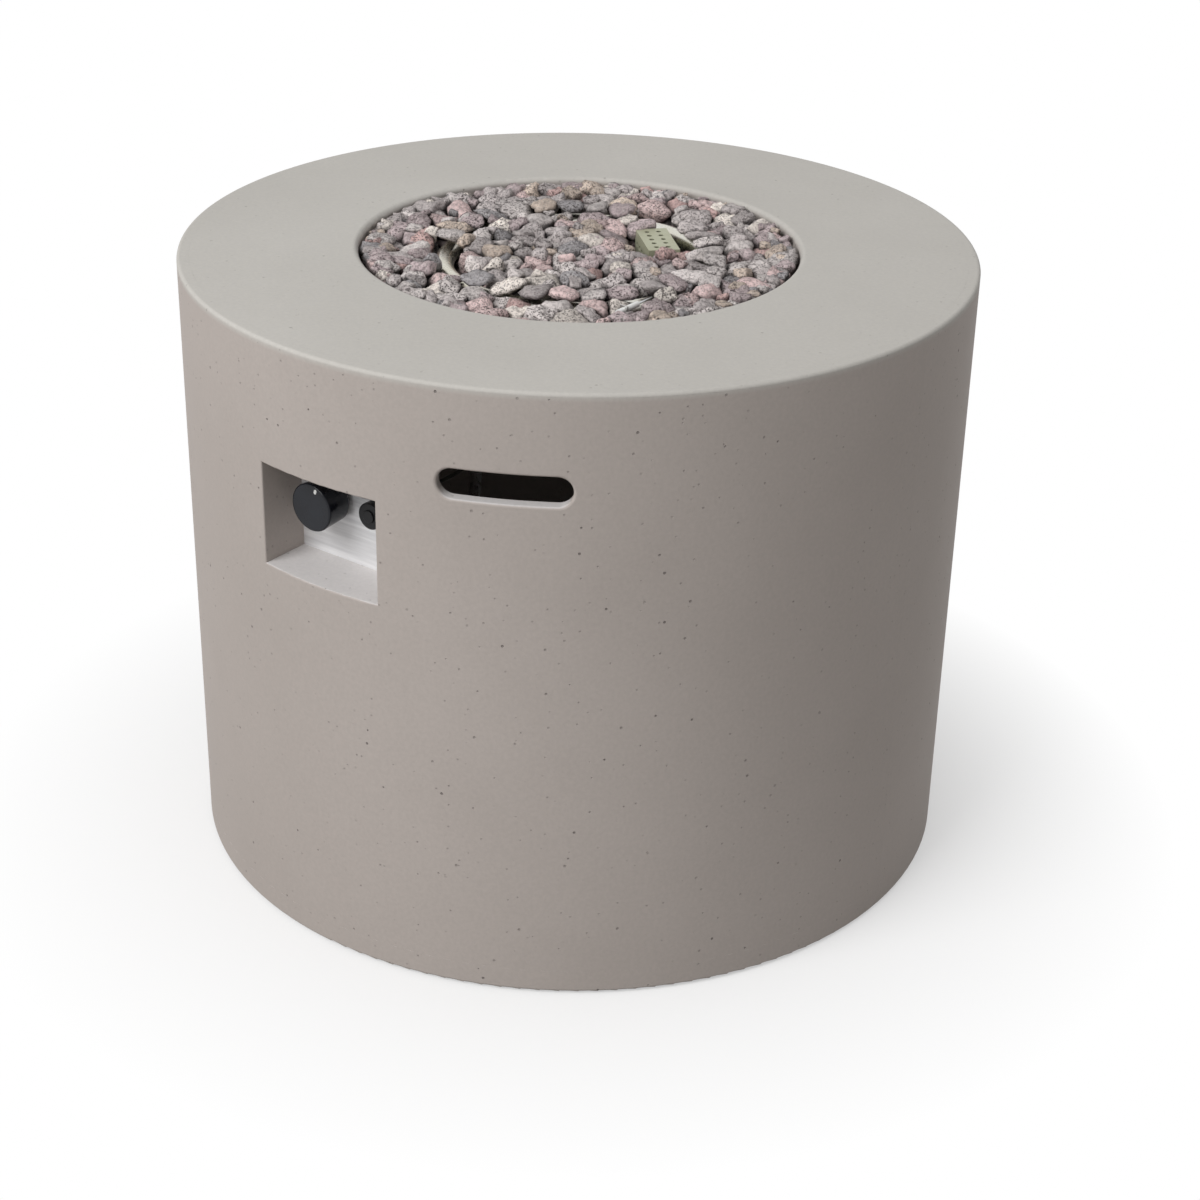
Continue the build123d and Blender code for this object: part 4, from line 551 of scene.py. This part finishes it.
def broken_stone(corners, sides, ball, dice):
    """Rough stone about the origin: the body between the given corners, with more sides broken off it."""
    breaks = [any_direction(dice) for _ in range(BREAK_COUNT)]
    every = np.concatenate([sides, breaks])
    reach = (corners @ every.T).max(axis=0)
    reach[len(sides):] *= [dice.uniform(*BREAK_DEPTH) for _ in breaks]
    lean = np.clip(ball @ every.T / reach, 0, None)
    radius = (lean ** EDGE_POWER).sum(axis=1) ** (-1 / EDGE_POWER)
    return ball * (radius * roughen(ball, dice))[:, None]


def tilted(points, dice, lean):
    """The points tilted a little, any way."""
    about_x, about_y = (dice.uniform(-lean, lean) for _ in range(2))
    turn = Matrix.Rotation(about_x, 3, "X") @ Matrix.Rotation(about_y, 3, "Y")
    return points @ np.array(turn).T


top_ball, top_faces = unit_ball(TOP_STEPS)
low_ball, low_faces = unit_ball(LOW_STEPS)
print("points on a top stone:", len(top_ball), "and on a low one:", len(low_ball))

# %% [markdown]
# ## Lava rock: tints and heaps
# Hundreds of separate objects would be slow to handle, so a heap of stones is one mesh. One colour would
# look painted, so every stone in the heap draws a tint from the bag, and all its points carry that tint.

# %% Heaps
STONE_TINTS = [
    ("grey", 26, (0.55, 0.5, 0.495)),
    ("pale grey", 17, (0.72, 0.665, 0.65)),
    ("mauve", 17, (0.55, 0.455, 0.465)),
    ("pink", 13, (0.73, 0.56, 0.55)),
    ("tan", 9, (0.72, 0.6, 0.51)),
    ("cream", 8, (0.85, 0.78, 0.72)),
    ("slate", 6, (0.35, 0.335, 0.345)),
    ("rust", 4, (0.6, 0.41, 0.39)),
]
PORE_SHARE = (0.35, 1.0)
TINT_LEVEL = (0.76, 1.24)


def stone_tint(dice):
    """Tint of one stone, a little lighter or darker than the bag's, and its share of pores."""
    weights = [weight for _, weight, _ in STONE_TINTS]
    _, _, tint = dice.choices(STONE_TINTS, weights)[0]
    level = dice.uniform(*TINT_LEVEL)
    return [level * channel for channel in tint] + [dice.uniform(*PORE_SHARE)]


def stone_heap(name, stones, faces, dice):
    """One piece from many stones, each with its own tint."""
    size = len(stones[0])
    points = np.concatenate(stones)
    triangles = np.concatenate([faces + size * k for k in range(len(stones))])
    tints = np.repeat([stone_tint(dice) for _ in stones], size, axis=0)
    mesh = bpy.data.meshes.new(name)
    mesh.from_pydata(points.tolist(), [], triangles.tolist())
    mesh.color_attributes.new(TINT_LAYER, "FLOAT_COLOR", "POINT").data.foreach_set("color", tints.ravel())
    mesh.shade_smooth()
    mesh.materials.append(lava_finish)
    heap = bpy.data.objects.new(name, mesh)
    bpy.context.scene.collection.objects.link(heap)
    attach(heap, "pit")
    print(name, len(stones), "stones,", len(triangles), "triangles")
    return heap


print("tints in the bag:", ", ".join(name for name, _, _ in STONE_TINTS))

# %% [markdown]
# ## Lava rock: the top layer
# The frame holds one plain convex stone for each place in the top layer. Each becomes a broken stone in the
# same place. Poured rock settles on its flat side, so the plain stones are pressed flatter about their
# tops, then swollen until they nearly touch. A stone that would stand above the deck is let down.

# %% Top stones
FLATNESS = 0.68
SWELL = 1.14
TOP_LEAN = 0.28
PROUD = 0.001
WELD_DISTANCE = 1e-5
SORT_DIGITS = 5
TOP_SEED = 100


def plain_stones(name):
    """Corners and outward sides of each separate stone in a frame node."""
    whole = bmesh.new()
    whole.from_mesh(nodes[name].data)
    bmesh.ops.remove_doubles(whole, verts=whole.verts, dist=WELD_DISTANCE)
    waiting = set(whole.verts)
    stones = []
    while waiting:
        reach = [waiting.pop()]
        found = []
        while reach:
            corner = reach.pop()
            found.append(corner)
            near = {e.other_vert(corner) for e in corner.link_edges} & waiting
            waiting -= near
            reach.extend(near)
        sides = sorted({f for v in found for f in v.link_faces}, key=lambda f: f.index)
        stones.append((np.array([v.co for v in found]), np.array([f.normal for f in sides])))
    whole.free()
    return sorted(stones, key=lambda stone: tuple(stone[0].mean(axis=0).round(SORT_DIGITS)))


def settled_stone(corners, sides, dice):
    """Broken stone in the place of a plain one."""
    squeeze = np.array((1, 1, FLATNESS))
    top = np.array((0, 0, corners[:, 2].max()))
    corners = top + (corners - top) * squeeze
    sides = sides / squeeze
    sides /= np.linalg.norm(sides, axis=1)[:, None]
    middle = corners.mean(axis=0)
    stone = SWELL * tilted(broken_stone(corners - middle, sides, top_ball, dice), dice, TOP_LEAN) + middle
    stone[:, 2] -= max(0.0, stone[:, 2].max() - deck_top - PROUD)
    return stone


for number, part in enumerate(("inside", "outside", "on_ring")):
    dice = random.Random(TOP_SEED + number)
    stones = [settled_stone(*plain, dice) for plain in plain_stones("lava_rock_" + part)]
    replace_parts(stone_heap("stones_" + part, stones, top_faces, dice), "lava_rock_" + part)

# %% [markdown]
# ## Lava rock: small and lower stones
# A bag of rock also holds chips, which fall between the big stones, and through the gaps one looks down on
# more rock. Both are laid on a sunflower spiral, which spreads points evenly over a disc, and each point is
# shaken a little. Stones that would meet the burner tube, the sensor guard or the electrode are left out.
# Two rows against the rim finish the bed, one of stones and one of chips, and a single stone lies where the
# tube would be bare towards the rim.

# %% Small and lower stones
GOLDEN_TURN = math.pi * (3 - math.sqrt(5))
TUBE_HALF = 0.01
TUBE_ROOM = 0.8
UPRIGHT_ROOM = 0.6
UPRIGHT = ("sensor_guard", "electrode_bracket", "electrode_ceramic", "spark_wire", "spark_lead")
LOOSE_BREADTH = (0.7, 1)
LOOSE_HEIGHT = (0.5, 0.75)
LOOSE_LEAN = 0.5
SMALL_SEED = 44
SHAKE = 0.007
LAYER_DEPTH = 0.003
CHIP_COUNT = 150
CHIP_WIDTHS = (0.013, 0.023)
CHIP_INSET = 0.012
CHIP_DROP = 0.0095
LOW_LAYERS = [  # count, rise over the bed, widths
    (230, 0.001, (0.026, 0.036)),
    (200, -0.014, (0.028, 0.038)),
]
LOW_INSET = 0.014
RIM_ROWS = [  # count, rise over the deck, widths
    (58, 0.0015, (0.02, 0.029)),
    (84, 0.0, (0.012, 0.017)),
]
RIM_SHAKE = 0.3
RIM_SLACK = 0.004
COVER_TURN = math.radians(-74.5)
COVER_WIDTH = 0.027
COVER_REACH = 0.158
COVER_DROP = 0.015
ring_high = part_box("burner_ring")[1]
upright = [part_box(name) for name in UPRIGHT]
bed_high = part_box("lava_rock_bed")[1]
wall_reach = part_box("lava_rock_outside")[1].x


def stands_free(x, y, z, half):
    """True where a stone of this half width meets neither the burner tube nor an upright piece."""
    from_tube = math.hypot(math.hypot(x, y) - (ring_high.x - TUBE_HALF), z - (ring_high.z - TUBE_HALF))
    if from_tube < TUBE_HALF + TUBE_ROOM * half:
        return False
    room = UPRIGHT_ROOM * half
    return not any(
        low.x - room < x < high.x + room and low.y - room < y < high.y + room
        for low, high in upright
    )


def loose_stone(width, ball, dice):
    """Stone of its own, broken from a flat block."""
    half = width / 2 * np.array((1, dice.uniform(*LOOSE_BREADTH), dice.uniform(*LOOSE_HEIGHT)))
    corners = half * (2 * np.array(list(np.ndindex(2, 2, 2))) - 1)
    sides = np.concatenate([np.eye(3), -np.eye(3)])
    spin = np.array(Matrix.Rotation(dice.uniform(0, math.tau), 3, "Z"))
    return tilted(broken_stone(corners, sides, ball, dice) @ spin.T, dice, LOOSE_LEAN)


def strewn(count, field, middle_z, widths, ball, dice):
    """Loose stones spread evenly over a disc at about one height."""
    stones = []
    for k in range(count):
        reach = field * math.sqrt((k + 0.5) / count)
        x = reach * math.cos(k * GOLDEN_TURN) + dice.uniform(-SHAKE, SHAKE)
        y = reach * math.sin(k * GOLDEN_TURN) + dice.uniform(-SHAKE, SHAKE)
        z = middle_z + dice.uniform(-LAYER_DEPTH, LAYER_DEPTH)
        width = dice.uniform(*widths)
        if stands_free(x, y, z, width / 2):
            stones.append(loose_stone(width, ball, dice) + (x, y, z))
    return stones


def rim_stones(count, top_z, widths, dice):
    """Row of stones that lean against the rim of the opening."""
    stones = []
    for k in range(count):
        turn = math.tau * (k + dice.uniform(-RIM_SHAKE, RIM_SHAKE)) / count
        width = dice.uniform(*widths)
        stone = loose_stone(width, top_ball, dice)
        reach = wall_reach - width / 2 - dice.uniform(0, RIM_SLACK)
        x, y = reach * math.cos(turn), reach * math.sin(turn)
        z = top_z - stone[:, 2].max() - dice.uniform(0, RIM_SLACK)
        if stands_free(x, y, z, width / 2):
            stones.append(stone + (x, y, z))
    return stones


def cover_stone(dice):
    """Stone that lies against the outer side of the burner tube."""
    x, y = COVER_REACH * math.cos(COVER_TURN), COVER_REACH * math.sin(COVER_TURN)
    return loose_stone(COVER_WIDTH, top_ball, dice) + (x, y, deck_top - COVER_DROP)


dice = random.Random(SMALL_SEED)
chips = strewn(CHIP_COUNT, wall_reach - CHIP_INSET, deck_top - CHIP_DROP, CHIP_WIDTHS, top_ball, dice)
for count, rise, widths in RIM_ROWS:
    chips += rim_stones(count, deck_top + rise, widths, dice)
chips.append(cover_stone(dice))
stone_heap("stone_chips", chips, top_faces, dice)
low = []
for count, rise, widths in LOW_LAYERS:
    low += strewn(count, bed_high.x - LOW_INSET, bed_high.z + rise, widths, low_ball, dice)
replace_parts(stone_heap("stones_below", low, low_faces, dice), "lava_rock_bed")

# %% [markdown]
# ## Metals
# Sheet steel, plated steel, brass and cast alloy differ in colour, in how rough they are and in the
# direction of their marks. One helper makes them all: noise that is stretched along one axis reads as
# brushing, even noise reads as casting, and a slow stain keeps the colour from being flat.

# %% Metal finishes
EVEN_MARKS = (420, 420, 420)
PRESSED_MARKS = (300, 300, 300)
TURNED_MARKS = (500, 500, 1500)
CAST_MARKS = (900, 900, 900)
BRUSHED_MARKS = (25, 500, 700)
BRUSHED_STAINS = (9, 90, 190)
EVEN_STAINS = (18, 18, 18)
WORN_SPAN = (0.35, 0.75)
MARK_STRENGTH = 0.4
THIN_METAL = 0.3


def metal_finish(name, tone, stain, roughness, marks, mark_height=0.00006, metallic=1.0, stains=EVEN_STAINS):
    """Bare metal with marks stretched along an axis, uneven polish and slow stains."""
    finish, tree, shader = new_finish(name)
    slow = grain(tree, place_on_pit(tree, stains), 1.0, detail=5.0)
    fine = grain(tree, place_on_pit(tree, marks), 1.0, detail=3.0)
    fill(tree, shader.inputs["Base Color"], colours(tree, slow, WORN_SPAN, tone, stain))
    fill(tree, shader.inputs["Roughness"], spread(tree, fine, *NOISE_SPAN, *roughness))
    fill(tree, shader.inputs["Metallic"], metallic)
    fill(tree, shader.inputs["Normal"], bump(tree, fine, MARK_STRENGTH, mark_height))
    return finish


steel_sheet = metal_finish(
    "pressed_steel", (0.62, 0.62, 0.61), (0.5, 0.49, 0.47), (0.28, 0.42), PRESSED_MARKS
)
panel_steel = metal_finish(
    "brushed_panel", (0.9, 0.9, 0.91), (0.62, 0.62, 0.63), (0.3, 0.46), BRUSHED_MARKS,
    mark_height=0.00008, metallic=THIN_METAL, stains=BRUSHED_STAINS
)
ring_steel = metal_finish("heated_tube", (0.68, 0.67, 0.62), (0.6, 0.56, 0.44), (0.22, 0.36), EVEN_MARKS)
screw_steel = metal_finish("zinc_screws", (0.6, 0.61, 0.62), (0.5, 0.5, 0.48), (0.3, 0.45), EVEN_MARKS)
spring_steel = metal_finish("spring_wire", (0.62, 0.62, 0.63), (0.5, 0.5, 0.5), (0.2, 0.32), EVEN_MARKS)
brass = metal_finish("machined_brass", (0.78, 0.57, 0.24), (0.6, 0.4, 0.16), (0.24, 0.4), TURNED_MARKS)
alloy = metal_finish(
    "cast_alloy", (0.58, 0.58, 0.59), (0.48, 0.48, 0.48), (0.42, 0.58), CAST_MARKS, mark_height=0.0002
)
tube_alloy = metal_finish("drawn_tube", (0.7, 0.7, 0.7), (0.6, 0.6, 0.6), (0.25, 0.38), EVEN_MARKS)
copper = metal_finish("copper_lead", (0.7, 0.36, 0.2), (0.5, 0.24, 0.13), (0.28, 0.42), EVEN_MARKS)
plated = metal_finish(
    "yellow_plating", (0.45, 0.455, 0.33), (0.36, 0.36, 0.24), (0.4, 0.55), EVEN_MARKS, metallic=THIN_METAL
)

dress(steel_sheet, "burner_pan", "burner_leg_1", "burner_leg_2")
dress(steel_sheet, "lead_clip_1", "lead_clip_2", "electrode_bracket")
dress(panel_steel, "control_panel")
dress(ring_steel, "burner_ring")
dress(screw_steel, "foot_screws", "pan_rivets", "panel_screws", "valve_screws", "valve_stem", "spark_wire")
dress(brass, "burner_lock_nuts", "air_mixer", "gas_jet", "gas_tube_nuts")
dress(brass, "sensor_nut", "panel_inserts", "valve_plug", "inlet_fitting")
dress(alloy, "valve_body", "valve_cover")
dress(tube_alloy, "gas_tube")
dress(copper, "sensor_probe", "sensor_lead")
dress(plated, "sensor_guard")
print("metals done")

# %% [markdown]
# ## Springs
# Three springs work inside the valve and the igniter, and the frame holds each of them as a plain sleeve.
# Here they are wound from round wire, in the same room. Two are hung on the piece that presses them, the
# valve plug and the battery, and each gets a mesh of its own. The third keeps its place in the pit.

# %% Springs
WIRE_SIDES = 8
COIL_STEPS = 24
DEPTH = Vector((0, 1, 0))


def wound_wire(low, high, wire, turns):
    """Points and faces of a round wire, wound along the pit's depth inside a box."""
    middle = (low + high) / 2
    reach = (high.x - low.x - wire) / 2
    steps = turns * COIL_STEPS
    points, faces = [], []
    for step in range(steps + 1):
        turn = math.tau * step / COIL_STEPS
        out = Vector((math.cos(turn), 0, math.sin(turn)))
        along = low.y + wire / 2 + (high.y - low.y - wire) * step / steps
        core = Vector((middle.x, along, middle.z)) + reach * out
        for side in range(WIRE_SIDES):
            angle = math.tau * side / WIRE_SIDES
            points.append(core + wire / 2 * (math.cos(angle) * out + math.sin(angle) * DEPTH))
    for step in range(steps):
        here, there = step * WIRE_SIDES, (step + 1) * WIRE_SIDES
        for side in range(WIRE_SIDES):
            after = (side + 1) % WIRE_SIDES
            faces.append((here + side, here + after, there + after, there + side))
    first, last = range(WIRE_SIDES), range(steps * WIRE_SIDES, len(points))
    return points, faces + [tuple(reversed(first)), tuple(last)]


def wound_spring(name, sleeve, wire, turns):
    """Spring of round wire in a sleeve's place, the middle of its back end and its length."""
    low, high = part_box(sleeve)
    points, faces = wound_wire(low, high, wire, turns)
    mesh = bpy.data.meshes.new(name)
    mesh.from_pydata(points, [], faces)
    mesh.shade_smooth()
    mesh.materials.append(spring_steel)
    spring = bpy.data.objects.new(name, mesh)
    bpy.context.scene.collection.objects.link(spring)
    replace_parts(spring, sleeve)
    return spring, Vector(((low.x + high.x) / 2, high.y, (low.z + high.z) / 2)), high.y - low.y


def pressed_spring(name, sleeve, body, wire, turns):
    """Spring that hangs on the piece that presses it, with a mesh of its own."""
    spring, seat, length = wound_spring(name, sleeve, wire, turns)
    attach(spring, body)
    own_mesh(spring)


pressed_spring("stem_coil", "stem_spring", "valve_plug", wire=0.0012, turns=4)
pressed_spring("button_coil", "button_spring", "battery", wire=0.0005, turns=3)
battery_coil, seat, length = wound_spring("battery_coil", "battery_spring", wire=0.0008, turns=5)
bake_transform(battery_coil)

# %% [markdown]
# ## Plastic, rubber and ceramic
# The knob and the igniter are moulded in black, with a skin that is never perfectly even. The feet are matt
# rubber, the electrode is glazed white ceramic and its lead is a woven sleeve, dark from soot. They share a
# helper too: a fine grain drives roughness and relief, and a slow one shifts the tone.

# %% Plastic, rubber and ceramic finishes
TONE_SCALE = 45.0
SKIN_STRENGTH = 0.3


def moulded_finish(name, tone, worn, roughness, scale, height, gloss=0.5):
    """Non-metal with a fine skin and a slow shift of tone."""
    finish, tree, shader = new_finish(name)
    place = place_on_pit(tree)
    slow = grain(tree, place, TONE_SCALE)
    fine = grain(tree, place, scale, detail=3.0)
    fill(tree, shader.inputs["Base Color"], colours(tree, slow, WORN_SPAN, tone, worn))
    fill(tree, shader.inputs["Roughness"], spread(tree, fine, *NOISE_SPAN, *roughness))
    fill(tree, shader.inputs["Specular IOR Level"], gloss)
    fill(tree, shader.inputs["Normal"], bump(tree, fine, SKIN_STRENGTH, height))
    return finish


knob_black = moulded_finish(
    "black_knob", (0.008, 0.009, 0.013), (0.012, 0.014, 0.02), (0.12, 0.2), 700, 0.00002, gloss=0.27
)
igniter_black = moulded_finish(
    "black_igniter", (0.009, 0.009, 0.01), (0.015, 0.015, 0.016), (0.3, 0.45), 900, 0.00006, gloss=0.2
)
mark_white = moulded_finish("white_mark", (0.82, 0.82, 0.8), (0.72, 0.72, 0.7), (0.4, 0.55), 900, 0.00004)
rubber = moulded_finish("foot_rubber", (0.024, 0.024, 0.024), (0.05, 0.05, 0.048), (0.75, 0.9), 600, 0.0002)
ceramic = moulded_finish("white_ceramic", (0.88, 0.88, 0.86), (0.8, 0.79, 0.76), (0.18, 0.3), 400, 0.00005)
woven = moulded_finish("woven_sleeve", (0.1, 0.09, 0.085), (0.16, 0.145, 0.13), (0.7, 0.9), 1800, 0.0003)
cell_wrap = moulded_finish("battery_wrap", (0.05, 0.055, 0.065), (0.09, 0.1, 0.11), (0.2, 0.35), 300, 0.00004)

dress(knob_black, "control_knob")
dress(mark_white, "knob_mark")
dress(igniter_black, "igniter_housing", "igniter_nut", "igniter_cap", "igniter_button")
dress(rubber, "foot_pad_1", "foot_pad_2", "foot_pad_3", "foot_pad_4", "lead_grommet")
dress(ceramic, "electrode_ceramic")
dress(woven, "spark_lead")
dress(cell_wrap, "igniter_battery")
print("plastic, rubber and ceramic done")

# %% [markdown]
# ## Size
# Dressing must not make the pit bigger than it is. The frame's box is printed here. The dressed pit may
# differ from it by a few millimetres at the top, where some stones stand above the deck.

# %% Size and finish
print("frame box", [list(c) for c in cad_box])
